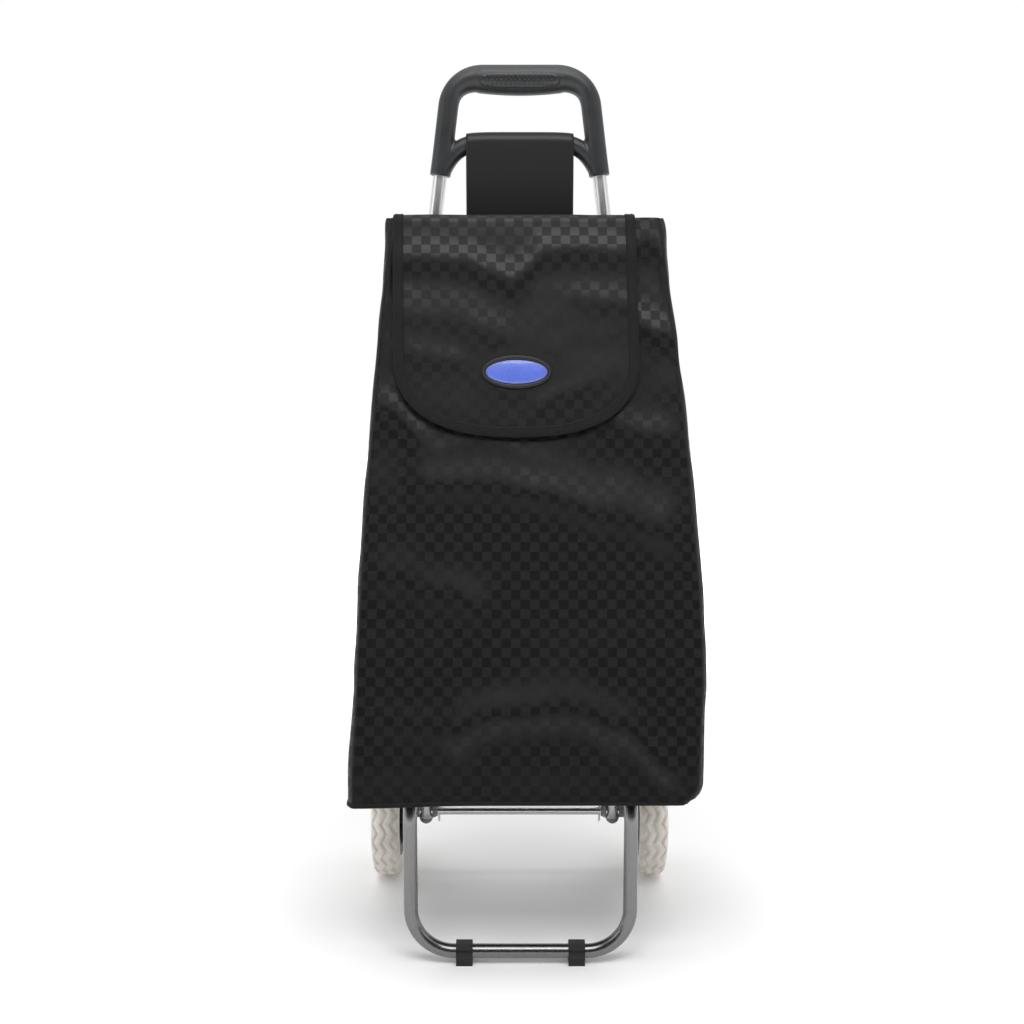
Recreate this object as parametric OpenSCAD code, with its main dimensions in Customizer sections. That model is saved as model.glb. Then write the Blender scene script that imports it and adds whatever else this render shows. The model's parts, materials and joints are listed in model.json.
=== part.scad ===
// Two-wheel shopping trolley: a tapered fabric bag on a steel tube frame, with
// a D-shaped plastic handle and a front stand that folds up on two pivot bolts.
// The front of the trolley faces -Y and up is +Z. The origin lies on the floor,
// under the middle of the overall width and depth.

/* [Overall] */
// Depth from the bag's front hem to the back of the wheels
overall_depth = 336; // [325:1:345]
// Height of the top of the grip
overall_height = 947; // [940:1:955]

/* [Frame tubes] */
// Outside diameter of the two back tubes
tube_d = 16; // [15.8:0.1:16.2]
// Wall thickness of every steel tube
tube_wall = 1; // [0.8:0.1:1.5]
// Distance from the middle to each back tube and each stand arm
frame_half_width = 113; // [110:0.5:114]
// Height at which the back tubes bend inwards
tube_bend_z = 647; // [620:1:670]
// Angle that the upper back tubes lean inwards, in degrees
tube_lean = 7.25; // [7:0.05:8]

/* [Handle] */
// Width of the handle's legs and shoulders, seen from the front
handle_d = 23; // [22:0.5:24]
// Thickness of the handle from front to back
handle_depth = 26; // [24:1:28]
// Radius of the shoulders, measured at their middle line
shoulder_r = 38; // [34:1:42]
// Height of the grip in its middle
grip_h = 33; // [31:0.5:34]
// Height of the lower bar that carries the bag's strap
crossbar_d = 20; // [19:0.5:20]

/* [Wheels] */
// Outside diameter of the tyres
wheel_d = 150; // [146:1:154]
// Width of the tyre
tyre_w = 33; // [30:1:34]
// Outside diameter of the rim, where the tyre sits
rim_d = 104; // [98:1:108]
// Distance from the middle to the centre plane of each wheel
wheel_x = 156.5; // [155:0.5:158]
// Axle diameter
axle_d = 10; // [9:0.5:10]

/* [Front stand] */
// Outside diameter of the stand's tube
stand_tube_d = 14.5; // [14:0.1:15]
// Distance from the axle forward to the stand's legs
stand_reach = 231; // [225:1:235]
// Height of the stand's arms, under the bag
arm_z = 186; // [184:1:187]
// Radius of the bends beside the feet
foot_bend_r = 45; // [40:1:50]
// Radius of the elbows between legs and arms
elbow_r = 38; // [34:1:42]
// Distance from the middle to each foot clip
foot_x = 58; // [50:1:60]
// Width of a foot clip
foot_w = 17; // [15:1:19]

/* [Bag] */
// Half of the bag's width at the bottom
bag_bottom_half = 176; // [170:1:176]
// Half of the bag's width at the top
bag_top_half = 150; // [146:1:154]
// Height of the bag's mouth
bag_top_z = 768; // [762:1:778]
// Height of the front and side hems
bag_hem_z = 182; // [180:1:186]
// Depth of the bag at its mouth
bag_top_depth = 89.5; // [80:0.5:95]
// Thickness of the sewn fabric walls
fabric_t = 1.5; // [1.2:0.1:1.8]

/* [Flap] */
// Half of the flap's width
flap_half = 128; // [125:0.5:132]
// Height of the flap's lower edge
flap_bottom_z = 541; // [530:1:560]
// Radius of the flap's lower corners
flap_corner_r = 60; // [40:1:70]
// Width of the binding along the flap's edges
binding_w = 10; // [8:0.5:12]
// Height of the middle of the oval badge
badge_z = 606; // [600:1:630]

/* [Hidden] */
$fn = 64;

// Shared clearances
run_gap = 0.05;
cut_over = 1;

// Frame
tube_r = tube_d / 2;
axle_y = overall_depth / 2 - wheel_d / 2;
axle_z = wheel_d / 2;
axle_r = axle_d / 2;
tube_foot_z = axle_z - 8;
tube_top_z = 853;

// Handle
handle_r = handle_d / 2;
socket_z = 825;
grip_low_z = overall_height - grip_h;
shoulder_top_z = overall_height - handle_r;
shoulder_z = shoulder_top_z - shoulder_r;
shoulder_x = tube_x_at(shoulder_z) - shoulder_r / cos(tube_lean);
shank_seat = 2;
screw_head_r = 3.8;
screw_top_r = 2.6;
screw_head_h = 2;
plug_depth = 2.4;
bush_in_r = 6.4;
bush_out_r = 9;
hub_gap = 0.4;
pin_drop = 13;
pin_rise = 9;
pin_eye_rise = 11;
pin_eye_r = 3;
washer_r = 9;
nut_r = 5.5;
nut_h = 4.5;
bolt_head_h = 3.5;
crossbar_z = 862;
crossbar_bend_r = 260;
crossbar_r = crossbar_d / 2;
crossbar_end_x = 82;
crossbar_angle = asin(crossbar_end_x / crossbar_bend_r);
crossbar_turns = [22, 45, 68];
pad_half = 45;
pad_h = 16;
pad_z = 928;
pad_back = 11;
pad_proud = 14.2;
screw_z = 839;
screw_r = 2;

// Braces: flat strips riveted behind the tubes
brace_h = 20;
brace_t = 2;
upper_brace_z = 600;
lower_brace_z = 140;
rivet_r = 2.4;
rivet_head_r = 4;
rivet_head_h = 1.6;

// Axle fittings, from the middle outwards
pin_r = 1.2;
pin_x = 97;
bush_in_x = 99;
spacer_r = 8;
hub_in_x = 133.5;
hub_out_x = 170.5;
washer_x = 170.8;
washer_t = 1;
push_nut_x = 171.9;
push_nut_end_x = 176.6;
push_nut_r = 8.5;
axle_end_x = 175.3;

// Wheels
wheel_r = wheel_d / 2;
rim_r = rim_d / 2;
rim_w = tyre_w - 4;
tread_edge_r = 7;
hub_r = 15;
spoke_count = 6;
spoke_w = 12;
spoke_t = 8;
bush_r = 7.5;
cap_r = 14;

// Stand
stand_r = stand_tube_d / 2;
leg_y = axle_y - stand_reach;
foot_z = 12.5;
pivot_y = axle_y - 19;
arm_overhang = 6.5;
bolt_r = 3;
foot_h = 24.5;
foot_ring_r = stand_r + 2.8;
foot_base_half = 9;

// Pivot brackets
bracket_gap = tube_r + 0.1;
bracket_t = 1.5;
bracket_z0 = 168;
bracket_z1 = 193;
bracket_rivet_z = [bracket_z0 + 5, bracket_z1 - 6];
ear_reach = 14;
shelf_len = 3.5;
shelf_z = arm_z - stand_r - 0.25 - bracket_t;

// Bag
bag_back_y = axle_y - tube_r - 3.7;
bag_base_z = 194.6;
piping_t = 1;
piping_h = 12;
bag_front_y = piping_t - overall_depth / 2;
bag_front_top_y = bag_back_y - bag_top_depth;
front_slope = (bag_front_top_y - bag_front_y) / (bag_top_z - bag_hem_z);
front_lean = atan(front_slope);
front_stretch = 1 / cos(front_lean);
board_t = 2.5;
board_inset = 4;
hem_t = 1;
hem_h = 18;
far = 400;

// Flap
flap_gap = 2.2;
flap_lift = 0.5;
flap_back_y = bag_back_y - 1.8;
binding_t = 0.8;
badge_half_w = 36.5;
badge_half_h = 17.9;
badge_face_half_w = 32.4;
badge_face_half_h = 12.8;
badge_rim_h = 2.6;
badge_face_h = 2;
velcro_z = 572;
velcro_w = 80;
velcro_h = 22;
velcro_t = 0.9;

// Hanging strap and tie straps
strap_half = 60.5;
strap_t = 1.5;
strap_in_r = crossbar_d / 2 + 0.15;
strap_low_z = 735;
strap_slope_z = 849;
strap_join_z = 797;
tie_z = 240;
tie_h = 25;
tie_t = 1.3;
tie_tab_half = 6;

// Distance from the middle to the back tube's axis, above the bend
function tube_x_at(z) = frame_half_width - tan(tube_lean) * (z - tube_bend_z);
// The bag's front face: its Y at height z, moved outwards by off
function front_y(z, off = 0) = bag_front_top_y + front_slope * (z - bag_top_z) - off * front_stretch;
// Half of the bag's width at height z
function side_x(z) = bag_top_half
    + (bag_bottom_half - bag_top_half) * (bag_top_z - z) / (bag_top_z - bag_hem_z);

// Points along an arc about (x, z) with radius r, from angle a0 to angle a1
function arc(x, z, r, a0, a1, steps = 16) = [
    for (i = [0 : steps]) [
        x + r * cos(a0 + (a1 - a0) * i / steps),
        z + r * sin(a0 + (a1 - a0) * i / steps)
    ]
];

// A profile drawn in Y and Z, extruded along X on both sides of the middle
module across(half) {
    rotate([90, 0, 90]) linear_extrude(2 * half, center = true) children();
}

// A profile drawn in X and Z, extruded along Y
module front_to_back() {
    rotate([90, 0, 0]) linear_extrude(2 * far, center = true) children();
}

// A cylinder along X from x0 to x1
module x_rod(r, x0, x1) {
    translate([x0, 0, 0]) rotate([0, 90, 0]) cylinder(r = r, h = x1 - x0);
}

// A copy on each side of the middle
module both_sides() {
    children();
    mirror([1, 0, 0]) children();
}

// A tube's end face
module tube_ring(r) {
    difference() {
        circle(r);
        circle(r - tube_wall);
    }
}

// The bag's side view between its hem and its mouth, grown by off at the front
module bag_side_view(off, z0, back_y) {
    polygon([
        [front_y(z0, off), z0],
        [front_y(bag_top_z, off), bag_top_z],
        [back_y, bag_top_z],
        [back_y, z0]
    ]);
}

// The bag's front view, grown by off at both sides
module bag_front_view(off, z0 = bag_hem_z) {
    polygon([
        [-side_x(z0) - off, z0],
        [side_x(z0) + off, z0],
        [side_x(bag_top_z) + off, bag_top_z],
        [-side_x(bag_top_z) - off, bag_top_z]
    ]);
}

// The bag as a solid block whose front and sides are grown by off
module bag_block(off, z0, back_y) {
    intersection() {
        across(far) bag_side_view(off, z0, back_y);
        front_to_back() bag_front_view(off, z0);
    }
}

// ---- Frame ----

// Keeps the part of a back tube that lies below the mitre at its bend, or above it
module mitre_side(below) {
    intersection() {
        children();
        translate([frame_half_width, axle_y, tube_bend_z])
            rotate([0, -tube_lean / 2, 0])
                translate([0, 0, below ? -far : far])
                    cube([4 * tube_d, 4 * tube_d, 2 * far], center = true);
    }
}

module frame_tube() {
    difference() {
        union() {
            mitre_side(true)
                translate([frame_half_width, axle_y, tube_foot_z])
                    linear_extrude(tube_bend_z - tube_foot_z + tube_d) tube_ring(tube_r);
            mitre_side(false)
                translate([frame_half_width, axle_y, tube_bend_z])
                    rotate([0, -tube_lean, 0])
                        translate([0, 0, -tube_d])
                            linear_extrude((tube_top_z - tube_bend_z) / cos(tube_lean) + tube_d)
                                tube_ring(tube_r);
        }
        translate([0, axle_y, axle_z]) x_rod(axle_r + run_gap, 0, far);
        bracket_rivet_shanks();
        brace_rivet_shanks();
        handle_screw_shank();
    }
}

module frame_tube_left() {
    color("silver") mirror([1, 0, 0]) frame_tube();
}

module frame_tube_right() {
    color("silver") frame_tube();
}

module tube_end_plugs() {
    color("dimgray")
    both_sides() translate([frame_half_width, axle_y, tube_foot_z]) {
        cylinder(r = tube_r - tube_wall, h = plug_depth);
        intersection() {
            sphere(tube_r);
            translate([0, 0, -tube_r]) cube([2 * tube_d, 2 * tube_d, 2 * tube_r], center = true);
        }
    }
}

module brace(z) {
    difference() {
        translate([0, axle_y + tube_r + brace_t / 2, z])
            cube([2 * (frame_half_width + tube_r), brace_t, brace_h], center = true);
        brace_rivet_shanks();
    }
}

module upper_brace() {
    color("silver") brace(upper_brace_z);
}

module lower_brace() {
    color("silver") brace(lower_brace_z);
}

module brace_rivet_shanks() {
    both_sides()
    for (z = [lower_brace_z, upper_brace_z])
        translate([frame_half_width, axle_y + tube_r - shank_seat, z])
            rotate([-90, 0, 0]) cylinder(r = rivet_r, h = shank_seat + brace_t);
}

module brace_rivets() {
    color("lightgray") {
        brace_rivet_shanks();
        both_sides()
        for (z = [lower_brace_z, upper_brace_z])
            translate([frame_half_width, axle_y + tube_r + brace_t, z])
                rotate([-90, 0, 0]) cylinder(r1 = rivet_head_r, r2 = rivet_r, h = rivet_head_h);
    }
}

// ---- Handle ----

// X of a line beside a handle leg's axis, moved outwards by off, at height z
function leg_x(z, off) = tube_x_at(z) + off / cos(tube_lean);

// The front view of the legs, shoulders and grip, round the outside and back
// along the inside
function handle_outline() = concat(
    [[leg_x(socket_z, handle_r), socket_z]],
    arc(shoulder_x, shoulder_z, shoulder_r + handle_r, tube_lean, 90),
    arc(-shoulder_x, shoulder_z, shoulder_r + handle_r, 90, 180 - tube_lean),
    [
        [-leg_x(socket_z, handle_r), socket_z],
        [-leg_x(socket_z, -handle_r), socket_z]
    ],
    arc(-shoulder_x, shoulder_z, shoulder_r - handle_r, 180 - tube_lean, 110, 8),
    [[0, grip_low_z]],
    arc(shoulder_x, shoulder_z, shoulder_r - handle_r, 70, tube_lean, 8),
    [[leg_x(socket_z, -handle_r), socket_z]]
);

// The arched crossbar between the legs, as a slab half_h high and half_d deep each way
module crossbar_slab(half_h, half_d) {
    rotate([90, 0, 0]) linear_extrude(2 * half_d, center = true)
        polygon(concat(
            arc(0, crossbar_z - crossbar_bend_r, crossbar_bend_r + half_h,
                90 - crossbar_angle, 90 + crossbar_angle),
            arc(0, crossbar_z - crossbar_bend_r, crossbar_bend_r - half_h,
                90 + crossbar_angle, 90 - crossbar_angle)
        ));
}

module handle() {
    color("dimgray")
    difference() {
        translate([0, axle_y, 0]) {
            rotate([90, 0, 0]) linear_extrude(handle_depth, center = true)
                polygon(handle_outline());
            for (turn = crossbar_turns)
                crossbar_slab(crossbar_r * cos(turn), crossbar_r * sin(turn));
        }
        both_sides() {
            socket_bore();
            handle_screw_shank();
        }
        grip_pad_shape();
    }
}

module socket_bore() {
    translate([tube_x_at(tube_bend_z), axle_y, tube_bend_z])
        rotate([0, -tube_lean, 0])
            cylinder(r = tube_r, h = (tube_top_z - tube_bend_z) / cos(tube_lean));
}

module grip_pad_shape() {
    translate([0, axle_y - pad_back, pad_z]) rotate([90, 0, 0])
        linear_extrude(pad_proud - pad_back) polygon(concat(
            arc(pad_half - pad_h / 2, 0, pad_h / 2, -90, 90),
            arc(pad_h / 2 - pad_half, 0, pad_h / 2, 90, 270)
        ));
}

module grip_pad() {
    color("gray") grip_pad_shape();
}

module handle_screw_shank() {
    translate([tube_x_at(screw_z), axle_y, screw_z])
        rotate([-90, 0, 0]) translate([0, 0, tube_r - shank_seat])
            cylinder(r = screw_r, h = handle_depth / 2 - tube_r + shank_seat);
}

module handle_screws() {
    color("silver")
    both_sides() {
        handle_screw_shank();
        translate([tube_x_at(screw_z), axle_y + handle_depth / 2, screw_z])
            rotate([-90, 0, 0]) cylinder(r1 = screw_head_r, r2 = screw_top_r, h = screw_head_h);
    }
}

// ---- Axle ----

module axle() {
    color("lightsteelblue")
    difference() {
        translate([0, axle_y, axle_z]) x_rod(axle_r, -axle_end_x, axle_end_x);
        both_sides() split_pin_shank();
    }
}

module axle_bushes() {
    color("gray")
    both_sides() translate([bush_in_x, axle_y, axle_z]) rotate([0, 90, 0])
        difference() {
            cylinder(r1 = bush_in_r, r2 = bush_out_r, h = frame_half_width - tube_r - bush_in_x);
            translate([0, 0, -cut_over]) cylinder(r = axle_r + run_gap, h = 2 * tube_d);
        }
}

module wheel_spacers() {
    spacer_x = frame_half_width + tube_r;
    color("gray")
    both_sides() translate([0, axle_y, axle_z])
        difference() {
            x_rod(spacer_r, spacer_x, hub_in_x - hub_gap);
            x_rod(axle_r + run_gap, spacer_x - cut_over, hub_in_x);
        }
}

module split_pin_shank() {
    translate([pin_x, axle_y, axle_z - pin_drop]) cylinder(r = pin_r, h = pin_drop + pin_rise);
}

module split_pins() {
    color("silver")
    both_sides() {
        split_pin_shank();
        translate([pin_x, axle_y, axle_z + pin_eye_rise]) rotate([90, 0, 0])
            rotate_extrude() translate([pin_eye_r, 0]) circle(pin_r);
    }
}

module axle_washers() {
    color("silver")
    both_sides() translate([0, axle_y, axle_z])
        difference() {
            x_rod(washer_r, washer_x, washer_x + washer_t);
            x_rod(axle_r + run_gap, washer_x - cut_over, washer_x + 2 * washer_t);
        }
}

module axle_push_nuts() {
    color("silver")
    both_sides() translate([0, axle_y, axle_z])
        difference() {
            x_rod(push_nut_r, push_nut_x, push_nut_end_x);
            x_rod(axle_r, push_nut_x - cut_over, axle_end_x);
        }
}

// ---- Pivot brackets ----

module pivot_bracket() {
    front = pivot_y - ear_reach;
    back = axle_y + bracket_gap + bracket_t;
    mid_z = (bracket_z0 + bracket_z1) / 2;
    difference() {
        translate([frame_half_width, 0, 0])
        union() {
            for (side = [-1, 1])
                translate([side * (bracket_gap + bracket_t / 2), (front + back) / 2, mid_z])
                    cube([bracket_t, back - front, bracket_z1 - bracket_z0], center = true);
            translate([0, back - bracket_t / 2, mid_z])
                cube([2 * bracket_gap + bracket_t, bracket_t, bracket_z1 - bracket_z0], center = true);
            translate([0, front + shelf_len / 2, shelf_z + bracket_t / 2])
                cube([2 * bracket_gap + bracket_t, shelf_len, bracket_t], center = true);
        }
        translate([0, pivot_y, arm_z]) x_rod(bolt_r, 0, far);
        bracket_rivet_shanks();
    }
}

module pivot_bracket_left() {
    color("gray") mirror([1, 0, 0]) pivot_bracket();
}

module pivot_bracket_right() {
    color("gray") pivot_bracket();
}

module bracket_rivet_shanks() {
    half = bracket_gap + bracket_t;
    both_sides()
    for (z = bracket_rivet_z)
        translate([0, axle_y, z]) x_rod(rivet_r, frame_half_width - half, frame_half_width + half);
}

module bracket_rivets() {
    half = bracket_gap + bracket_t;
    color("lightgray") {
        bracket_rivet_shanks();
        both_sides()
        for (z = bracket_rivet_z, side = [-1, 1])
            translate([frame_half_width + side * half, axle_y, z])
                rotate([0, side * 90, 0]) cylinder(r1 = rivet_head_r, r2 = rivet_r, h = rivet_head_h);
    }
}

module pivot_bolts() {
    half = bracket_gap + bracket_t;
    color("silver")
    both_sides() translate([frame_half_width, pivot_y, arm_z]) {
        x_rod(bolt_r, -half - nut_h - 1, half);
        translate([half, 0, 0]) rotate([0, 90, 0]) cylinder(r = nut_r, h = bolt_head_h, $fn = 6);
    }
}

module pivot_nuts() {
    half = bracket_gap + bracket_t;
    color("silver")
    both_sides() translate([frame_half_width - half, pivot_y, arm_z])
        difference() {
            rotate([0, -90, 0]) cylinder(r = nut_r, h = nut_h, $fn = 6);
            x_rod(bolt_r, -2 * half, half);
        }
}

// ---- Bag ----

module bag_front_panel() {
    color("black")
    intersection() {
        across(far) polygon([
            [front_y(bag_hem_z), bag_hem_z],
            [front_y(bag_top_z), bag_top_z],
            [front_y(bag_top_z, -fabric_t), bag_top_z],
            [front_y(bag_hem_z, -fabric_t), bag_hem_z]
        ]);
        front_to_back() bag_front_view(0);
    }
}

module bag_back_panel() {
    color("black")
    intersection() {
        across(far) translate([bag_back_y - fabric_t, bag_base_z])
            square([fabric_t, bag_top_z - bag_base_z]);
        front_to_back() bag_front_view(0);
    }
}

module bag_side_panel() {
    intersection() {
        across(far) bag_side_view(-fabric_t, bag_hem_z, bag_back_y - fabric_t);
        front_to_back() polygon([
            [side_x(bag_hem_z) - fabric_t, bag_hem_z],
            [side_x(bag_hem_z), bag_hem_z],
            [side_x(bag_top_z), bag_top_z],
            [side_x(bag_top_z) - fabric_t, bag_top_z]
        ]);
    }
}

module bag_left_panel() {
    color("black") mirror([1, 0, 0]) bag_side_panel();
}

module bag_right_panel() {
    color("black") bag_side_panel();
}

// A level slab between heights z0 and z1
module level_slab(z0, z1) {
    translate([0, 0, (z0 + z1) / 2]) cube([2 * far, 2 * far, z1 - z0], center = true);
}

module bag_bottom_panel() {
    color("black")
    intersection() {
        bag_block(-fabric_t, bag_hem_z, bag_back_y - fabric_t);
        level_slab(bag_base_z, bag_base_z + fabric_t);
    }
}

module base_board() {
    board_z = bag_base_z + fabric_t;
    color("saddlebrown")
    intersection() {
        bag_block(-board_inset, bag_hem_z, bag_back_y - board_inset);
        level_slab(board_z, board_z + board_t);
    }
}

module bag_mouth_hem() {
    color("black")
    intersection() {
        difference() {
            bag_block(-fabric_t, bag_hem_z, bag_back_y - fabric_t);
            bag_block(-fabric_t - hem_t, bag_hem_z, bag_back_y - fabric_t - hem_t);
        }
        level_slab(bag_top_z - hem_h, bag_top_z);
    }
}

module bag_bottom_piping() {
    color("black")
    intersection() {
        difference() {
            bag_block(piping_t, bag_hem_z, bag_back_y);
            bag_block(0, bag_hem_z, bag_back_y + cut_over);
        }
        level_slab(bag_hem_z, bag_hem_z + piping_h);
    }
}

// Places its children on the front face at height z, moved outwards by off.
// A shape drawn in X and Y lies flat on the face, and grows outwards.
module on_front(z, off) {
    translate([0, front_y(z, off), z]) rotate([90 - front_lean, 0, 0]) children();
}

module velcro_strip() {
    linear_extrude(velcro_t) square([velcro_w, velcro_h], center = true);
}

module velcro_loop() {
    color("black") on_front(velcro_z, 0) velcro_strip();
}

module hanging_strap() {
    front = axle_y - strap_in_r - strap_t;
    back = axle_y + strap_in_r;
    color("black")
    across(strap_half) difference() {
        polygon(concat(
            arc(axle_y, crossbar_z, strap_in_r + strap_t, 180, 0),
            [
                [back + strap_t, strap_slope_z],
                [front + 2 * strap_t, strap_join_z - strap_t],
                [front + strap_t, strap_join_z - 3 * strap_t],
                [front + strap_t, strap_low_z],
                [front, strap_low_z]
            ]
        ));
        polygon(concat(
            arc(axle_y, crossbar_z, strap_in_r, 0, 180),
            [[front + strap_t, strap_join_z], [back, strap_slope_z]]
        ));
    }
}

module tie_straps() {
    color("black")
    both_sides() translate([frame_half_width, axle_y, tie_z])
        difference() {
            union() {
                cylinder(r = tube_r + 0.1 + tie_t, h = tie_h, center = true);
                translate([-tie_tab_half, bag_back_y - axle_y, -tie_h / 2])
                    cube([2 * tie_tab_half, axle_y - bag_back_y, tie_h]);
            }
            cylinder(r = tube_r + 0.1, h = 2 * tie_h, center = true);
        }
}

// ---- Flap ----

// The flap's side view: one layer, from lift and off to a thickness t further out
module flap_side_view(off, lift, t) {
    z_in = bag_top_z + lift;
    polygon([
        [flap_back_y, z_in],
        [front_y(z_in, off), z_in],
        [front_y(flap_bottom_z, off), flap_bottom_z],
        [front_y(flap_bottom_z, off + t), flap_bottom_z],
        [front_y(z_in + t, off + t), z_in + t],
        [flap_back_y, z_in + t]
    ]);
}

// The flap's front view, made smaller by inset on its sides and lower edge
module flap_outline(inset) {
    half = flap_half - inset;
    low = flap_bottom_z + inset;
    r = flap_corner_r - inset;
    high = bag_top_z + flap_corner_r;
    polygon(concat(
        arc(r - half, low + r, r, 180, 270),
        arc(half - r, low + r, r, 270, 360),
        [[half, high], [-half, high]]
    ));
}

module flap_panel() {
    color("black")
    intersection() {
        across(far) flap_side_view(flap_gap, flap_lift, fabric_t);
        front_to_back() flap_outline(0);
    }
}

module flap_binding() {
    color("black")
    intersection() {
        across(far) flap_side_view(flap_gap + fabric_t, flap_lift + fabric_t, binding_t);
        front_to_back() difference() {
            flap_outline(0);
            flap_outline(binding_w);
        }
    }
}

module velcro_hook() {
    color("black") on_front(velcro_z, flap_gap - velcro_t) velcro_strip();
}

module oval(half_w, half_h) {
    polygon([for (a = [0 : 7.5 : 352.5]) [half_w * cos(a), half_h * sin(a)]]);
}

module badge_rim() {
    color("black")
    on_front(badge_z, flap_gap + fabric_t)
        linear_extrude(badge_rim_h) difference() {
            oval(badge_half_w, badge_half_h);
            oval(badge_face_half_w, badge_face_half_h);
        }
}

module badge_face() {
    color("royalblue")
    on_front(badge_z, flap_gap + fabric_t)
        linear_extrude(badge_face_h) oval(badge_face_half_w, badge_face_half_h);
}

// ---- Stand ----

module stand_side() {
    translate([frame_half_width - foot_bend_r, leg_y, foot_z + foot_bend_r])
        rotate([90, 0, 0])
            rotate_extrude(angle = 90, start = 270, $fn = 128)
                translate([foot_bend_r, 0]) tube_ring(stand_r);
    translate([frame_half_width, leg_y, foot_z + foot_bend_r])
        linear_extrude(arm_z - elbow_r - foot_z - foot_bend_r) tube_ring(stand_r);
    translate([frame_half_width, leg_y + elbow_r, arm_z - elbow_r])
        rotate([90, 0, 90])
            rotate_extrude(angle = 90, start = 90, $fn = 128)
                translate([elbow_r, 0]) tube_ring(stand_r);
    translate([frame_half_width, leg_y + elbow_r, arm_z])
        rotate([-90, 0, 0])
            linear_extrude(pivot_y + arm_overhang - leg_y - elbow_r) tube_ring(stand_r);
}

module stand_tube() {
    foot_run = frame_half_width - foot_bend_r;
    color("silver")
    difference() {
        union() {
            both_sides() stand_side();
            translate([-foot_run, leg_y, foot_z]) rotate([90, 0, 90])
                linear_extrude(2 * foot_run) tube_ring(stand_r);
        }
        translate([0, pivot_y, arm_z]) x_rod(bolt_r + run_gap, -far, far);
    }
}

module foot_clip() {
    translate([foot_x, leg_y, 0])
        difference() {
            union() {
                translate([0, 0, foot_z]) x_rod(foot_ring_r, -foot_w / 2, foot_w / 2);
                translate([-foot_w / 2, -foot_base_half, 0])
                    cube([foot_w, 2 * foot_base_half, foot_z]);
                translate([-foot_w / 2, -foot_base_half + 1, foot_z])
                    cube([foot_w, foot_base_half, foot_h - foot_z]);
            }
            translate([0, 0, foot_z]) x_rod(stand_r, -foot_w, foot_w);
        }
}

module foot_clip_left() {
    color("black") mirror([1, 0, 0]) foot_clip();
}

module foot_clip_right() {
    color("black") foot_clip();
}

// ---- Wheels ----

// Turns a profile, drawn with its radius first, about the right axle end
module turned() {
    translate([wheel_x, axle_y, axle_z]) rotate([0, 90, 0]) rotate_extrude($fn = 128) children();
}

module tyre() {
    turned() {
        translate([rim_r, -tyre_w / 2]) square([wheel_r - tread_edge_r - rim_r, tyre_w]);
        translate([rim_r, tread_edge_r - tyre_w / 2])
            square([wheel_r - rim_r, tyre_w - 2 * tread_edge_r]);
        for (side = [-1, 1])
            translate([wheel_r - tread_edge_r, side * (tyre_w / 2 - tread_edge_r)]) circle(tread_edge_r);
    }
}

module rim() {
    difference() {
        union() {
            turned() {
                translate([rim_r - 4, -rim_w / 2]) square([4, rim_w]);
                translate([rim_r - 12, -rim_w / 2]) square([12, 3]);
                translate([0, hub_in_x - wheel_x]) square([hub_r, hub_out_x - hub_in_x]);
            }
            translate([wheel_x, axle_y, axle_z])
                for (i = [0 : spoke_count - 1])
                    rotate([i * 360 / spoke_count, 0, 0])
                        translate([-spoke_t / 2, -spoke_w / 2, hub_r - 2])
                            cube([spoke_t, spoke_w, rim_r - hub_r]);
        }
        translate([0, axle_y, axle_z]) {
            x_rod(bush_r, hub_in_x - cut_over, hub_out_x + cut_over);
            x_rod(cap_r, hub_out_x - 1.5, hub_out_x + cut_over);
        }
    }
}

module hub_bush() {
    translate([0, axle_y, axle_z])
        difference() {
            x_rod(bush_r, hub_in_x, hub_out_x - 1.5);
            x_rod(axle_r + run_gap, hub_in_x - cut_over, hub_out_x);
        }
}

module hub_cap() {
    translate([0, axle_y, axle_z])
        difference() {
            x_rod(cap_r, hub_out_x - 1.5, hub_out_x);
            x_rod(axle_r + 0.5, hub_in_x, hub_out_x + cut_over);
        }
}

module tyre_right() {
    color("antiquewhite") tyre();
}

module rim_right() {
    color("black") rim();
}

module hub_bush_right() {
    color("gray") hub_bush();
}

module hub_cap_right() {
    color("dimgray") hub_cap();
}

module tyre_left() {
    color("antiquewhite") mirror([1, 0, 0]) tyre();
}

module rim_left() {
    color("black") mirror([1, 0, 0]) rim();
}

module hub_bush_left() {
    color("gray") mirror([1, 0, 0]) hub_bush();
}

module hub_cap_left() {
    color("dimgray") mirror([1, 0, 0]) hub_cap();
}

frame_tube_left();
frame_tube_right();
tube_end_plugs();
upper_brace();
lower_brace();
brace_rivets();
handle();
grip_pad();
handle_screws();
axle();
axle_bushes();
wheel_spacers();
split_pins();
axle_washers();
axle_push_nuts();
pivot_bracket_left();
pivot_bracket_right();
bracket_rivets();
pivot_bolts();
pivot_nuts();
bag_front_panel();
bag_back_panel();
bag_left_panel();
bag_right_panel();
bag_bottom_panel();
base_board();
bag_mouth_hem();
bag_bottom_piping();
velcro_loop();
hanging_strap();
tie_straps();
flap_panel();
flap_binding();
velcro_hook();
badge_rim();
badge_face();
stand_tube();
foot_clip_left();
foot_clip_right();
tyre_left();
rim_left();
hub_bush_left();
hub_cap_left();
tyre_right();
rim_right();
hub_bush_right();
hub_cap_right();
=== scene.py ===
"""A two-wheeled shopping trolley: a black checked fabric bag on a folding steel frame.
Metres, Z up, the bag's front faces -Y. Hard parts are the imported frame's own, with
better materials. Soft and moulded parts are made here, in the space they hold there."""

import json
import math

import bmesh
import bpy
import numpy as np
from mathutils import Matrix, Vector, noise


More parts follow.
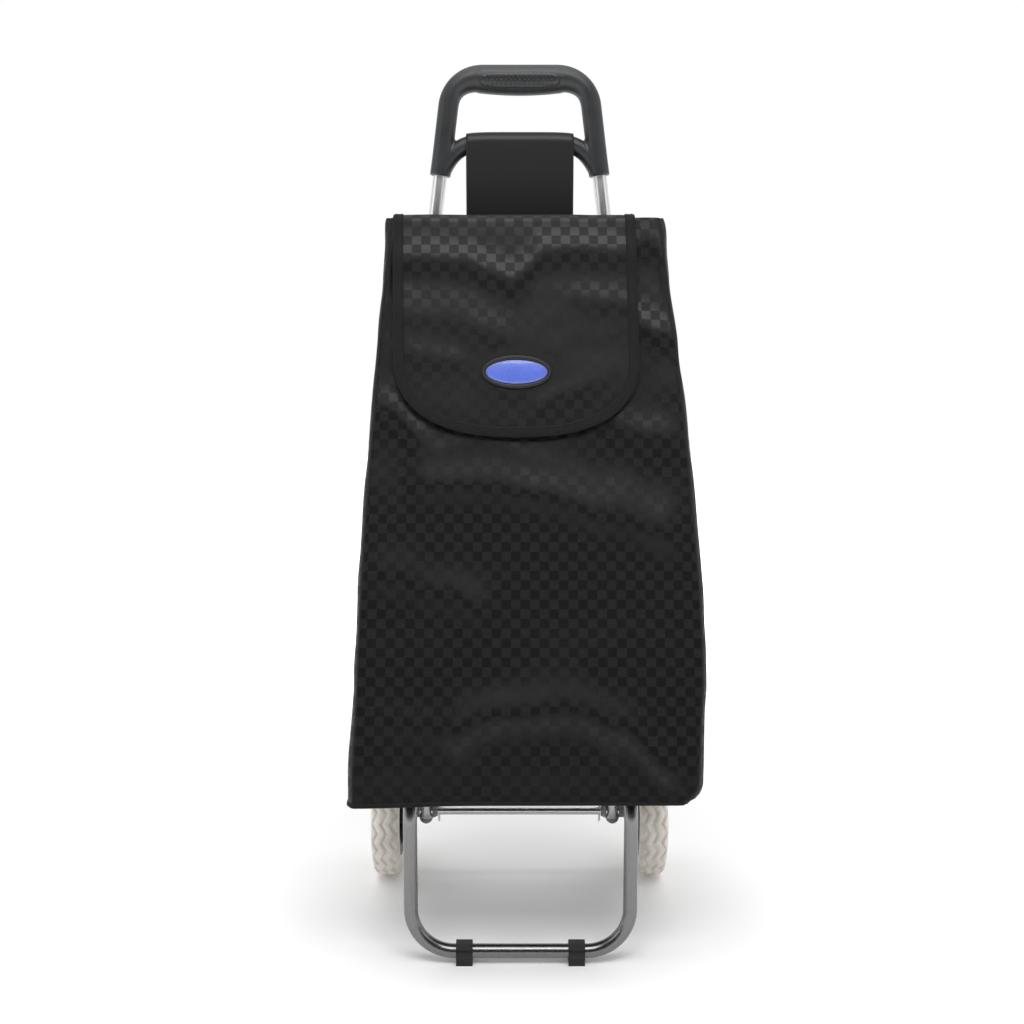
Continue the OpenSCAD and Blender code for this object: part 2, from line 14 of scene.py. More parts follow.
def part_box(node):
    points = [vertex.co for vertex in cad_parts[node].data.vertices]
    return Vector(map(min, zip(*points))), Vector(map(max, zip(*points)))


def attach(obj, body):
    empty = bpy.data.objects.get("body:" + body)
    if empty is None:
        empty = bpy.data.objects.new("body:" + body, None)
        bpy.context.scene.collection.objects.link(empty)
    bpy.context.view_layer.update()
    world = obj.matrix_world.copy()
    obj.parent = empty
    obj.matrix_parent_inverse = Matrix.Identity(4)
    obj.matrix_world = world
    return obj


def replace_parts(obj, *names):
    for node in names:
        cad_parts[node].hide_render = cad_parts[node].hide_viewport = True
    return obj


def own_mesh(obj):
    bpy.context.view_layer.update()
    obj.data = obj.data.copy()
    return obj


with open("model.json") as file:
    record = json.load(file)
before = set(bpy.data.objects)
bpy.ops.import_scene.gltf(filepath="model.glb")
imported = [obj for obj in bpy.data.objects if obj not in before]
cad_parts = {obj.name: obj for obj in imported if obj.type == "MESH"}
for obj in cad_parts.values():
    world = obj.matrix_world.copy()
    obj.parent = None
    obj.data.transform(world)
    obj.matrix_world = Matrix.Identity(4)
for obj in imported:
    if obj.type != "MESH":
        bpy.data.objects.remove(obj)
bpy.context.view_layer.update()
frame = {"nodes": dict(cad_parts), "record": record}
MM = 0.001


# ---------------------------------------------------------------- sizes, from the frame

FRONT_LOW, FRONT_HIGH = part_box("bag_front_panel")
BACK_LOW, BACK_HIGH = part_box("bag_back_panel")
STRAP_LOW, STRAP_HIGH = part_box("hanging_strap")
FLAP_LOW, FLAP_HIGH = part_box("flap_panel")
BADGE_LOW, BADGE_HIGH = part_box("badge_rim")
HANDLE_LOW, HANDLE_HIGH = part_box("handle")
TUBE_LOW, TUBE_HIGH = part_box("frame_tube_right")
AXLE_LOW, AXLE_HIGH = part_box("axle")
TYRE_LOW, TYRE_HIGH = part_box("tyre_right")
BOARD_LOW, BOARD_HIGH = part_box("base_board")
TIE_LOW, TIE_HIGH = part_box("tie_straps")

BAG_TOP = FRONT_HIGH.z
BAG_HEM = FRONT_LOW.z
BAG_BASE = BACK_LOW.z
BAG_BACK = BACK_HIGH.y
CLOTH = 1.5 * MM
FRONT_TOP_Y = FRONT_HIGH.y - 1.55 * MM
FRONT_SLOPE = (FRONT_TOP_Y - FRONT_LOW.y) / (BAG_TOP - BAG_HEM)
LEAN = math.atan(FRONT_SLOPE)
AXLE_Y = (AXLE_LOW.y + AXLE_HIGH.y) / 2
AXLE_Z = (AXLE_LOW.z + AXLE_HIGH.z) / 2
FLAP_HALF = FLAP_HIGH.x - 1.0 * MM
FLAP_LOW_Z = FLAP_LOW.z
CHECK = 9.8 * MM
SPLIT_Z = 0.535


def front_y(z):
    """Y of the bag's flat front face at height z."""
    return FRONT_TOP_Y + FRONT_SLOPE * (z - BAG_TOP)


# ---------------------------------------------------------------- small tools


def smooth_step(t):
    t = min(1.0, max(0.0, t))
    return t * t * (3 - 2 * t)


def curve_value(points, x):
    """The smooth curve through (x, value) points, at x; it is level past both ends."""
    if x <= points[0][0]:
        return points[0][1]
    for (x0, v0), (x1, v1) in zip(points, points[1:]):
        if x <= x1:
            return v0 + (v1 - v0) * smooth_step((x - x0) / (x1 - x0))
    return points[-1][1]


def grain(x, y, z, size):
    """Smooth noise from -1 to 1, with lumps of about that size."""
    return noise.noise(Vector((x / size, y / size, z / size)))


def new_object(name, points, faces, smooth=True):
    mesh = bpy.data.meshes.new(name)
    mesh.from_pydata([tuple(p) for p in points], [], faces)
    mesh.validate()
    mesh.polygons.foreach_set("use_smooth", [smooth] * len(mesh.polygons))
    obj = bpy.data.objects.new(name, mesh)
    bpy.context.scene.collection.objects.link(obj)
    return obj


def finish_piece(obj, body, material, replaced=()):
    obj.data.materials.clear()
    obj.data.materials.append(material)
    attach(obj, body)
    if replaced:
        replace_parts(obj, *replaced)
    return obj


def bake(obj):
    """Applies all of obj's modifiers."""
    bpy.context.view_layer.update()
    shape = obj.evaluated_get(bpy.context.evaluated_depsgraph_get())
    mesh = bpy.data.meshes.new_from_object(shape)
    obj.modifiers.clear()
    obj.data = mesh
    return obj


def grid_faces(rows, columns, closed=False, start=0):
    """Quads between rows of points; closed joins the last column to the first."""
    faces = []
    for r in range(rows - 1):
        for c in range(columns if closed else columns - 1):
            d = (c + 1) % columns
            a, b = start + r * columns, start + (r + 1) * columns
            faces.append((a + c, a + d, b + d, b + c))
    return faces


def sheet_faces(rows, columns):
    """Faces of a sheet with two sides: a grid, the same grid turned over, and the rim
    that joins them. The second side's points follow the first's."""
    count = rows * columns
    grid = grid_faces(rows, columns)
    faces = grid + [tuple(v + count for v in reversed(f)) for f in grid]
    rim = list(range(columns))
    rim += [r * columns + columns - 1 for r in range(1, rows)]
    rim += [(rows - 1) * columns + c for c in range(columns - 2, -1, -1)]
    rim += [r * columns for r in range(rows - 2, 0, -1)]
    return faces + [(a, b, b + count, a + count) for a, b in zip(rim, rim[1:] + rim[:1])]


def tube(path, half_sizes, sides=24, up=(0, 1, 0)):
    """Points and faces of a capped bar along path. half_sizes is (across, along up)
    for each point, or one pair for all of them."""
    path = [Vector(p) for p in path]
    if not isinstance(half_sizes, list):
        half_sizes = [half_sizes] * len(path)
    up = Vector(up).normalized()
    points = []
    for i, p in enumerate(path):
        ahead = path[min(i + 1, len(path) - 1)] - path[max(i - 1, 0)]
        side = ahead.cross(up).normalized()
        top = side.cross(ahead).normalized()
        across, along = half_sizes[i]
        for k in range(sides):
            a = 2 * math.pi * k / sides
            points.append(p + side * (across * math.cos(a)) + top * (along * math.sin(a)))
    faces = grid_faces(len(path), sides, closed=True)
    for r, flip in ((0, False), (len(path) - 1, True)):
        ring = list(range(r * sides, (r + 1) * sides))
        faces.append(ring[::-1] if not flip else ring)
    return points, faces


def fix_normals(obj):
    work = bmesh.new()
    work.from_mesh(obj.data)
    bmesh.ops.recalc_face_normals(work, faces=work.faces)
    work.to_mesh(obj.data)
    work.free()
    return obj


def arc_points(cx, cz, r, a0, a1, steps, y):
    """Points on an arc in a plane facing Y, from angle a0 to a1 in degrees."""
    return [
        Vector(
            (
                cx + r * math.cos(math.radians(a0 + (a1 - a0) * i / steps)),
                y,
                cz + r * math.sin(math.radians(a0 + (a1 - a0) * i / steps)),
            )
        )
        for i in range(steps + 1)
    ]


def set_uv(obj, uv_of_face_corner):
    """Writes UVs in metres: uv_of_face_corner(face normal, vertex number) -> (u, v)."""
    layer = obj.data.uv_layers.get("weave") or obj.data.uv_layers.new(name="weave")
    for face in obj.data.polygons:
        for loop in face.loop_indices:
            vertex = obj.data.loops[loop].vertex_index
            layer.data[loop].uv = uv_of_face_corner(face.normal, vertex)


def coordinates(mesh):
    co = np.empty(len(mesh.vertices) * 3)
    mesh.vertices.foreach_get("co", co)
    return co.reshape(-1, 3)


def vertex_normals(mesh):
    no = np.empty(len(mesh.vertices) * 3)
    mesh.vertices.foreach_get("normal", no)
    return no.reshape(-1, 3)


# ---------------------------------------------------------------- materials


class Nodes:
    """A short way to write a node material."""

    def __init__(self, name):
        self.material = bpy.data.materials.new(name)
        self.material.use_nodes = True
        self.tree = self.material.node_tree
        self.shader = self.tree.nodes["Principled BSDF"]

    def add(self, kind, **settings):
        node = self.tree.nodes.new(kind)
        for key, value in settings.items():
            if hasattr(node, key):
                setattr(node, key, value)
            else:
                node.inputs[key.replace("_", " ").title()].default_value = value
        return node

    def link(self, out, into):
        self.tree.links.new(out, into)

    def set(self, **values):
        for key, value in values.items():
            socket = self.shader.inputs[key.replace("_", " ")]
            if hasattr(value, "is_output"):
                self.link(value, socket)
            else:
                socket.default_value = value

    def position(self, scale=(1, 1, 1), turn=(0, 0, 0), uv=False):
        if uv:
            source = self.add("ShaderNodeUVMap", uv_map="weave").outputs["UV"]
        else:
            source = self.add("ShaderNodeTexCoord").outputs["Object"]
        mapping = self.add("ShaderNodeMapping")
        mapping.inputs["Scale"].default_value = scale
        mapping.inputs["Rotation"].default_value = turn
        mapping.inputs["Location"].default_value = (0.013, 0.017, 0.37)
        self.link(source, mapping.inputs["Vector"])
        return mapping.outputs["Vector"]

    def noise(self, vector, scale, detail=2.0):
        node = self.add("ShaderNodeTexNoise")
        node.inputs["Scale"].default_value = scale
        node.inputs["Detail"].default_value = detail
        self.link(vector, node.inputs["Vector"])
        return node.outputs["Fac"]

    def checks(self, vector):
        node = self.add("ShaderNodeTexChecker")
        node.inputs["Scale"].default_value = 1.0
        node.inputs["Color1"].default_value = (1, 1, 1, 1)
        node.inputs["Color2"].default_value = (0, 0, 0, 1)
        self.link(vector, node.inputs["Vector"])
        return node.outputs["Fac"]

    def math(self, operation, a, b=0.0):
        node = self.add("ShaderNodeMath", operation=operation)
        for socket, value in zip(node.inputs, (a, b)):
            if hasattr(value, "is_output"):
                self.link(value, socket)
            else:
                socket.default_value = value
        return node.outputs[0]

    def between(self, factor, low, high):
        """low where factor is 0, high where it is 1."""
        node = self.add("ShaderNodeMapRange")
        self.link(factor, node.inputs["Value"])
        node.inputs["To Min"].default_value = low
        node.inputs["To Max"].default_value = high
        return node.outputs["Result"]

    def colours(self, factor, low, high, at=(0.0, 1.0)):
        node = self.add("ShaderNodeValToRGB")
        node.color_ramp.elements[0].color = (*low, 1)
        node.color_ramp.elements[1].color = (*high, 1)
        node.color_ramp.elements[0].position = at[0]
        node.color_ramp.elements[1].position = at[1]
        self.link(factor, node.inputs["Fac"])
        return node.outputs["Color"]

    def bump(self, height, distance, strength=1.0, under=None):
        node = self.add("ShaderNodeBump")
        node.inputs["Strength"].default_value = strength
        node.inputs["Distance"].default_value = distance
        self.link(height, node.inputs["Height"])
        if under is not None:
            self.link(under, node.inputs["Normal"])
        return node.outputs["Normal"]


def jacquard():
    """Black cloth in checks: plain satin squares, and squares of fine slanted hatching."""
    n = Nodes("bag_cloth")
    square = n.checks(n.position((1 / CHECK, 1 / CHECK, 1), uv=True))
    hatch_size = 1 / (0.95 * MM)
    hatch = n.checks(
        n.position((hatch_size, hatch_size, 1), (0, 0, math.radians(45)), uv=True)
    )
    threads = n.noise(n.position((1800, 260, 1), uv=True), 1.0, 2.0)
    wear = n.noise(n.position((1, 1, 1)), 22.0, 3.0)
    hatched = n.math("MULTIPLY", n.math("SUBTRACT", 1.0, square), hatch)
    tone = n.math("ADD", n.math("MULTIPLY", square, 0.62), n.math("MULTIPLY", hatched, 0.3))
    tone = n.math("ADD", tone, n.math("MULTIPLY", wear, 0.18))
    rough = n.math("SUBTRACT", 0.55, n.math("MULTIPLY", square, 0.17))
    rough = n.math("ADD", rough, n.math("MULTIPLY", threads, 0.05))
    weave = n.bump(hatched, 0.14 * MM, 0.8)
    n.set(
        Base_Color=n.colours(tone, (0.0024, 0.0024, 0.0029), (0.0018, 0.0018, 0.0023)),
        Roughness=rough,
        Normal=n.bump(threads, 0.04 * MM, 0.4, weave),
    )
    n.set(Specular_IOR_Level=0.3)
    return n.material


def strap_cloth():
    """The bag's cloth where it is woven plain, without checks."""
    n = Nodes("strap_cloth")
    threads = n.noise(n.position((1800, 260, 1), uv=True), 1.0, 2.0)
    wear = n.noise(n.position((1, 1, 1)), 22.0, 3.0)
    n.set(
        Base_Color=n.colours(wear, (0.0055, 0.0055, 0.0062), (0.0075, 0.0075, 0.0082)),
        Roughness=n.between(threads, 0.42, 0.5),
        Normal=n.bump(threads, 0.05 * MM, 0.5),
    )
    n.set(Specular_IOR_Level=0.4)
    return n.material


def plain_cloth(name, colour, ribs, ribs_turn=0.0):
    """Black woven tape with fine ribs across it."""
    n = Nodes(name)
    rib = n.noise(n.position((ribs, 30, 30), (0, 0, ribs_turn)), 1.0, 1.0)
    fuzz = n.noise(n.position(), 900.0, 2.0)
    mixed = n.math("ADD", n.math("MULTIPLY", rib, 0.6), n.math("MULTIPLY", fuzz, 0.4))
    light = tuple(2.2 * c for c in colour)
    n.set(
        Base_Color=n.colours(mixed, colour, light, (0.3, 0.75)),
        Roughness=n.between(mixed, 0.62, 0.8),
        Normal=n.bump(mixed, 0.12 * MM, 0.7),
    )
    n.set(Sheen_Weight=0.02, Sheen_Roughness=0.5, Specular_IOR_Level=0.22)
    return n.material


def steel(name, colour, rough, brush=(2500, 2500, 25)):
    """Drawn steel: fine lines along the tube, with slight smudges."""
    n = Nodes(name)
    lines = n.noise(n.position(brush), 1.0, 3.0)
    smudge = n.noise(n.position(), 35.0, 3.0)
    dim = tuple(0.82 * c for c in colour)
    n.set(
        Base_Color=n.colours(lines, dim, colour, (0.3, 0.7)),
        Roughness=n.math(
            "ADD", n.between(lines, rough, rough + 0.1), n.math("MULTIPLY", smudge, 0.08)
        ),
        Normal=n.bump(lines, 0.02 * MM, 0.35),
    )
    n.set(Metallic=1.0)
    return n.material


def moulded(name, colour, rough, grain_size=1400.0, depth=0.04, gain=1.5):
    """Moulded plastic or foam with a fine skin texture and slight scuffs."""
    n = Nodes(name)
    skin = n.noise(n.position(), grain_size, 3.0)
    scuff = n.noise(n.position(), 60.0, 4.0)
    light = tuple(min(1.0, gain * c) for c in colour)
    n.set(
        Base_Color=n.colours(scuff, colour, light, (0.35, 0.8)),
        Roughness=n.math(
            "ADD", n.between(skin, rough - 0.05, rough + 0.05), n.math("MULTIPLY", scuff, 0.08)
        ),
        Normal=n.bump(skin, depth * MM, 0.6),
    )
    return n.material


def glossy(name, colour, coat=1.0):
    """Gloss enamel with the faintest orange peel."""
    n = Nodes(name)
    peel = n.noise(n.position(), 420.0, 2.0)
    light = tuple(min(1.0, 1.25 * c) for c in colour)
    n.set(
        Base_Color=n.colours(n.noise(n.position(), 40.0), colour, light, (0.3, 0.7)),
        Roughness=n.between(peel, 0.24, 0.32),
        Normal=n.bump(peel, 0.03 * MM, 0.3),
    )
    n.set(Coat_Weight=coat, Coat_Roughness=0.08)
    return n.material


def hardboard():
    n = Nodes("hardboard")
    fibre = n.noise(n.position((400, 90, 400)), 1.0, 4.0)
    n.set(
        Base_Color=n.colours(fibre, (0.10, 0.055, 0.03), (0.22, 0.13, 0.075), (0.3, 0.7)),
        Roughness=n.between(fibre, 0.55, 0.75),
        Normal=n.bump(fibre, 0.1 * MM, 0.5),
    )
    return n.material


def foam():
    """Cream tyre foam with faint stains."""
    n = Nodes("tyre_foam")
    pores = n.noise(n.position(), 1500.0, 2.0)
    stain = n.noise(n.position(), 45.0, 4.0)
    n.set(
        Base_Color=n.colours(stain, (0.76, 0.705, 0.63), (0.88, 0.835, 0.77), (0.3, 0.65)),
        Roughness=n.between(pores, 0.72, 0.9),
        Normal=n.bump(pores, 0.12 * MM, 0.6),
    )
    return n.material


CLOTH_MATERIAL = jacquard()
STRAP_MATERIAL = strap_cloth()
TAPE = plain_cloth("black_tape", (0.0030, 0.0030, 0.0034), 900)
THREAD = plain_cloth("black_thread", (0.007, 0.007, 0.0075), 1500)
VELCRO = plain_cloth("hook_and_loop", (0.006, 0.006, 0.0065), 1200)
MATERIALS = {
    # steel_tube is darkened: painted shade, standing for the dark surroundings that the stand's tubes
    # reflect
    "steel_tube": steel("steel_tube", (0.23, 0.226, 0.229), 0.19),
    "bright_steel": steel("bright_steel", (0.74, 0.75, 0.76), 0.16),
    "bracket_steel": steel("bracket_steel", (0.42, 0.42, 0.43), 0.34, (500, 500, 500)),
    "handle_plastic": moulded("handle_plastic", (0.014, 0.015, 0.0165), 0.40),
    "grip_plastic": moulded("grip_plastic", (0.013, 0.014, 0.015), 0.34),
    "black_plastic": moulded("black_plastic", (0.0032, 0.0032, 0.0036), 0.46),
    "grey_plastic": moulded("grey_plastic", (0.20, 0.20, 0.205), 0.45),
    "bag_fabric": CLOTH_MATERIAL,
    "binding_fabric": TAPE,
    "board": hardboard(),
    "badge_black": moulded("badge_black", (0.002, 0.002, 0.0024), 0.5),
    "badge_blue": glossy("badge_blue", (0.085, 0.135, 0.52)),
    "tyre_foam": foam(),
    "rim_plastic": moulded("rim_plastic", (0.006, 0.0062, 0.0066), 0.42),
}
SILVER = steel("badge_silver", (0.27, 0.29, 0.35), 0.42, (900, 900, 900))
# The back tubes get the same steel painted much brighter: a painted reflection of white surroundings
BACK_STEEL_PAINTED_LIT = steel("back_tube_steel_painted_lit", (0.88, 0.88, 0.89), 0.26)


# ---------------------------------------------------------------- hard parts kept from the frame

for part in frame["record"]["subparts"]:
    obj = frame["nodes"][part["node"]]
    obj.data.materials.clear()
    obj.data.materials.append(MATERIALS[part["material_slot"]])
    edge = obj.modifiers.new("edge", "BEVEL")
    edge.width = (1.5 if part["node"].startswith("foot_clip") else 0.35) * MM
    edge.segments = 2
    edge.limit_method = "ANGLE"
    edge.angle_limit = math.radians(40)
    edge.use_clamp_overlap = True
    edge.harden_normals = False


# ---------------------------------------------------------------- back tubes

TUBE_X = 113 * MM
TUBE_R = 8 * MM
TUBE_LEAN = 7.25
BEND_Z = 647 * MM
BEND_R = 120 * MM


def tube_x(z):
    """X of the right back tube's axis at height z, above its bend."""
    return TUBE_X - math.tan(math.radians(TUBE_LEAN)) * (z - BEND_Z)


def back_tube(name, side):
    run = BEND_R * math.tan(math.radians(TUBE_LEAN / 2))
    top = TUBE_HIGH.z - TUBE_R * math.sin(math.radians(TUBE_LEAN))
    straight = BEND_Z - run - TUBE_LOW.z
    path = [Vector((TUBE_X, AXLE_Y, TUBE_LOW.z + straight * i / 30)) for i in range(31)]
    path += arc_points(TUBE_X - BEND_R, BEND_Z - run, BEND_R, 0, TUBE_LEAN, 8, AXLE_Y)[1:]
    start = path[-1].copy()
    end = Vector((tube_x(top), AXLE_Y, top))
    path += [start.lerp(end, i / 8) for i in range(1, 9)]
    for p in path:
        p.x *= side
    outer, faces = tube(path, (TUBE_R, TUBE_R), 32)
    obj = fix_normals(new_object(name, outer, faces))
    return finish_piece(obj, "frame", BACK_STEEL_PAINTED_LIT)


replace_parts(back_tube("back_tube_left", -1), "frame_tube_left")
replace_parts(back_tube("back_tube_right", 1), "frame_tube_right")


# ---------------------------------------------------------------- handle

HANDLE_R = 11.5 * MM
HANDLE_DEPTH = 12.6 * MM
SHOULDER_R = 38 * MM
SHOULDER_Z = HANDLE_HIGH.z - HANDLE_R - SHOULDER_R
SHOULDER_X = (
    tube_x(SHOULDER_Z + SHOULDER_R * math.sin(math.radians(TUBE_LEAN)))
    - SHOULDER_R * math.cos(math.radians(TUBE_LEAN))
)
SOCKET_Z = HANDLE_LOW.z
CROSSBAR_Z = 862 * MM
CROSSBAR_R = 9.9 * MM
GRIP_HALF = 49 * MM
PAD_HALF = 45 * MM
PAD_Z = 928 * MM


def crossbar_drop(x):
    """The crossbar is level in the middle and turns down steeply into the legs."""
    return 27 * MM * (abs(x) / (85 * MM)) ** 5.5


def grip_swell(x):
    """How far the grip's underside hangs below a plain bar, at x."""
    ends = smooth_step((GRIP_HALF - abs(x)) / (3 * MM))
    belly = 1 - min(1.0, abs(x) / GRIP_HALF) ** 2
    return ends * (7.4 * MM + 3.2 * MM * belly)


def handle_path():
    """The centreline and half sizes of one side, from the socket to the middle."""
    leg_top = SHOULDER_Z + SHOULDER_R * math.sin(math.radians(TUBE_LEAN))
    path, sizes = [], []
    for i in range(15):
        z = SOCKET_Z + (leg_top - SOCKET_Z) * i / 15
        path.append(Vector((tube_x(z), AXLE_Y, z)))
        flare = 0.7 * MM * smooth_step(1 - i / 5)
        sizes.append((HANDLE_R + flare * 0.4, HANDLE_DEPTH + flare))
    centre = Vector((SHOULDER_X, AXLE_Y, SHOULDER_Z))
    for i, p in enumerate(arc_points(*centre.xz, SHOULDER_R, TUBE_LEAN, 90, 22, AXLE_Y)):
        thick = 3.4 * MM * smooth_step((i / 22 - 0.2) / 0.8)
        path.append(p + (centre - p).normalized() * thick)
        sizes.append((HANDLE_R + thick, HANDLE_DEPTH))
    return path, sizes


def moulded_handle():
    pieces = []
    path, sizes = handle_path()
    for side in (-1, 1):
        pieces.append(tube([Vector((side * p.x, p.y, p.z)) for p in path], sizes, 32))
    bar = [x * MM for x in range(-44, 45, 2)]
    centre = [Vector((x, AXLE_Y, HANDLE_HIGH.z - HANDLE_R)) for x in bar]
    pieces.append(tube(centre, (HANDLE_R, HANDLE_DEPTH), 32))
    grip = [x * MM for x in range(-49, 50, 1)]
    swell = [grip_swell(x) for x in grip]
    centre = [
        Vector((x, AXLE_Y, HANDLE_HIGH.z - HANDLE_R - 0.5 * s)) for x, s in zip(grip, swell)
    ]
    pieces.append(tube(centre, [(HANDLE_R + 0.5 * s, HANDLE_DEPTH + 0.12 * s) for s in swell], 40))
    arch = [
        Vector((x, AXLE_Y, CROSSBAR_Z + 1 * MM - crossbar_drop(x)))
        for x in np.linspace(-0.086, 0.086, 61)
    ]
    pieces.append(tube(arch, (CROSSBAR_R, CROSSBAR_R), 32))
    points, faces = [], []
    for part_points, part_faces in pieces:
        faces += [tuple(v + len(points) for v in f) for f in part_faces]
        points += part_points
    obj = fix_normals(new_object("moulded_handle", points, faces))
    melt = obj.modifiers.new("melt", "REMESH")
    melt.mode = "VOXEL"
    melt.voxel_size = 1.3 * MM
    melt.use_smooth_shade = True
    soften = obj.modifiers.new("soften", "SMOOTH")
    soften.factor = 0.5
    soften.iterations = 7
    bake(obj)
    for side in (-1, 1):
        low = SOCKET_Z - 5 * MM
        high = TUBE_HIGH.z - 0.5 * MM
        bore = [Vector((side * tube_x(z), AXLE_Y, z)) for z in (low, (low + high) / 2, high)]
        tool = fix_normals(new_object("bore", *tube(bore, (TUBE_R + 0.25 * MM,) * 2, 32)))
        hole = obj.modifiers.new("hole", "BOOLEAN")
        hole.operation = "DIFFERENCE"
        hole.object = tool
        hole.solver = "EXACT"
        bake(obj)
        bpy.data.objects.remove(tool)
    return finish_piece(
        obj, "frame", MATERIALS["handle_plastic"], ["handle"]
    )


def grip_front(x, z, proud):
    """The point on the grip's front at x and height z, standing proud of it."""
    s = grip_swell(x)
    half_h = HANDLE_R + 0.5 * s
    half_d = HANDLE_DEPTH + 0.12 * s
    t = max(-0.93, min(0.93, (z - (HANDLE_HIGH.z - half_h)) / half_h))
    out = Vector((0, -math.sqrt(1 - t * t) / half_d, t / half_h)).normalized()
    flat = Vector((x, AXLE_Y - half_d * math.sqrt(1 - t * t), HANDLE_HIGH.z - half_h + half_h * t))
    return flat + out * proud


def grip_insert():
    """The soft pad on the grip's front: a pill with a rounded edge and three rows of dots."""
    points, faces = [], []
    half_h = 8.4 * MM
    rings, turns = 14, 72
    for r in range(rings):
        share = 1 - r / rings
        lift = 0.75 * MM * math.sqrt(max(0.0, 1 - max(0.0, (share - 0.8) / 0.2) ** 2)) - 0.35 * MM
        for k in range(turns):
            a = 2 * math.pi * k / turns
            x = math.copysign(abs(math.cos(a)) ** 0.42, math.cos(a)) * PAD_HALF * share
            z = math.copysign(abs(math.sin(a)) ** 0.62, math.sin(a)) * half_h * share
            points.append(grip_front(x, PAD_Z + z, lift + 0.3 * MM))
    faces += grid_faces(rings, turns, closed=True)
    points.append(grip_front(0, PAD_Z, 0.7 * MM))
    last = (rings - 1) * turns
    faces += [(last + k, last + (k + 1) % turns, len(points) - 1) for k in range(turns)]
    for row in range(3):
        for i in range(15):
            cx = (i - 7) * 5.1 * MM
            cz = PAD_Z + (row - 1) * 4.4 * MM
            start = len(points)
            for radius, lift in ((1.5, 0.5), (1.35, 1.3), (0.75, 1.7)):
                for k in range(8):
                    a = math.pi * k / 4
                    points.append(
                        grip_front(
                            cx + radius * MM * math.cos(a),
                            cz + radius * MM * math.sin(a),
                            lift * MM,
                        )
                    )
            points.append(grip_front(cx, cz, 1.8 * MM))
            faces += grid_faces(3, 8, closed=True, start=start)
            top = start + 16
            faces += [(top + k, top + (k + 1) % 8, len(points) - 1) for k in range(8)]
    obj = fix_normals(new_object("grip_insert", points, faces))
    thick = obj.modifiers.new("thick", "SOLIDIFY")
    thick.thickness = 1.2 * MM
    thick.offset = -1
    bake(obj)
    return finish_piece(obj, "frame", MATERIALS["grip_plastic"], ["grip_pad"])


moulded_handle()
grip_insert()


# ---------------------------------------------------------------- tyres


def tread_depth(turn, across):
    """How deep the tread is cut, from 0 to 1: three zigzag grooves round the tyre, and
    nicks in its shoulders. turn runs from 0 to 1, and across from -1 to 1."""
    periods = 20
    phase = (turn * periods) % 1.0
    zig = 4 * abs(phase - 0.5) - 1
    depth = 0.0
    for centre in (-0.62, 0.0, 0.62):
        away = abs(across - centre - 0.17 * zig)
        depth = max(depth, smooth_step((0.17 - away) / 0.12))
    shoulder = smooth_step((abs(across) - 0.86) / 0.06)
    nick = smooth_step((0.16 - abs(phase - 0.5)) / 0.08)
    return max(depth, shoulder * nick)


def tyre(name, node, body):
    low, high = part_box(node)
    centre_x = (low.x + high.x) / 2
    half_w = (high.x - low.x) / 2
    r_out = (high.z - low.z) / 2
    r_in = 51.6 * MM
    turns, across = 480, 30
    profile = []
    for j in range(across + 1):
        w = -1 + 2 * j / across
        crown = (1 - abs(w) ** 3.2) ** 0.5
        profile.append((half_w * w, r_out - 9.5 * MM * (1 - crown), w))
    side = [(half_w, (r_out - 9.5 * MM) * (1 - t) + r_in * t, None) for t in (0.25, 0.6, 0.9)]
    side = [(half_w * (1.0 - 0.12 * i), r, w) for i, (x, r, w) in enumerate(side)]
    loop = profile + side + [(half_w * 0.7, r_in, None), (-half_w * 0.7, r_in, None)]
    loop += [(-x, r, w) for x, r, w in reversed(side)]
    points = []
    for i in range(turns):
        a = 2 * math.pi * i / turns
        for x, r, w in loop:
            if w is not None:
                r = r - 2.6 * MM * tread_depth(i / turns, w) * min(1.0, (1.02 - abs(w)) * 12)
            points.append(
                (centre_x + x, AXLE_Y + r * math.cos(a), AXLE_Z + r * math.sin(a))
            )
    count = len(loop)
    faces = []
    for i in range(turns):
        j = (i + 1) % turns
        for c in range(count):
            d = (c + 1) % count
            faces.append((i * count + c, i * count + d, j * count + d, j * count + c))
    obj = fix_normals(new_object(name, points, faces))
    return finish_piece(obj, body, MATERIALS["tyre_foam"], [node])


tyre("tread_tyre_left", "tyre_left", "wheel_left")
tyre("tread_tyre_right", "tyre_right", "wheel_right")


# ---------------------------------------------------------------- bag shell


def flap_shift(z):
    """The flap hangs a little to the bag's left, more so at its top."""
    return -(4.0 + 2.8 * (z - 0.61) / 0.165) * MM


RIGHT_CORNER_Z = 0.201  # where the right side's lower corner starts to round


def rounding(t):
    """How far a quarter circle has turned in, as t goes from 0 to 1."""
    t = min(1.0, max(0.0, t))
    return 1 - math.sqrt(1 - t * t)


def spare_width(z):
    """The cloth hangs in between the hem and the mouth, so it is cut wider there."""
    return 3.2 * smooth_step((z - 0.27) / 0.12) * smooth_step((0.745 - z) / 0.035)


def left_half_width(z):
    """The bag's width to its left at height z: drawn in evenly to the mouth."""
    width = 173.5 + spare_width(z) - 27.5 * max(0.0, (z - 0.2) / 0.568) ** 1.4
    return (width - 2 * rounding((z - 0.72) / 0.048)) * MM


def right_half_width(z):
    """The bag's width to its right: it bulges more there, and its corners are rounder."""
    width = 190.5 + spare_width(z) - 34.5 * max(0.0, (z - 0.29) / 0.478) ** 1.45
    width -= 8.5 * max(0.0, (0.29 - z) / 0.1)
    return (width - 22 * rounding((RIGHT_CORNER_Z - z) / 0.02) - 6 * rounding((z - 0.745) / 0.027)) * MM


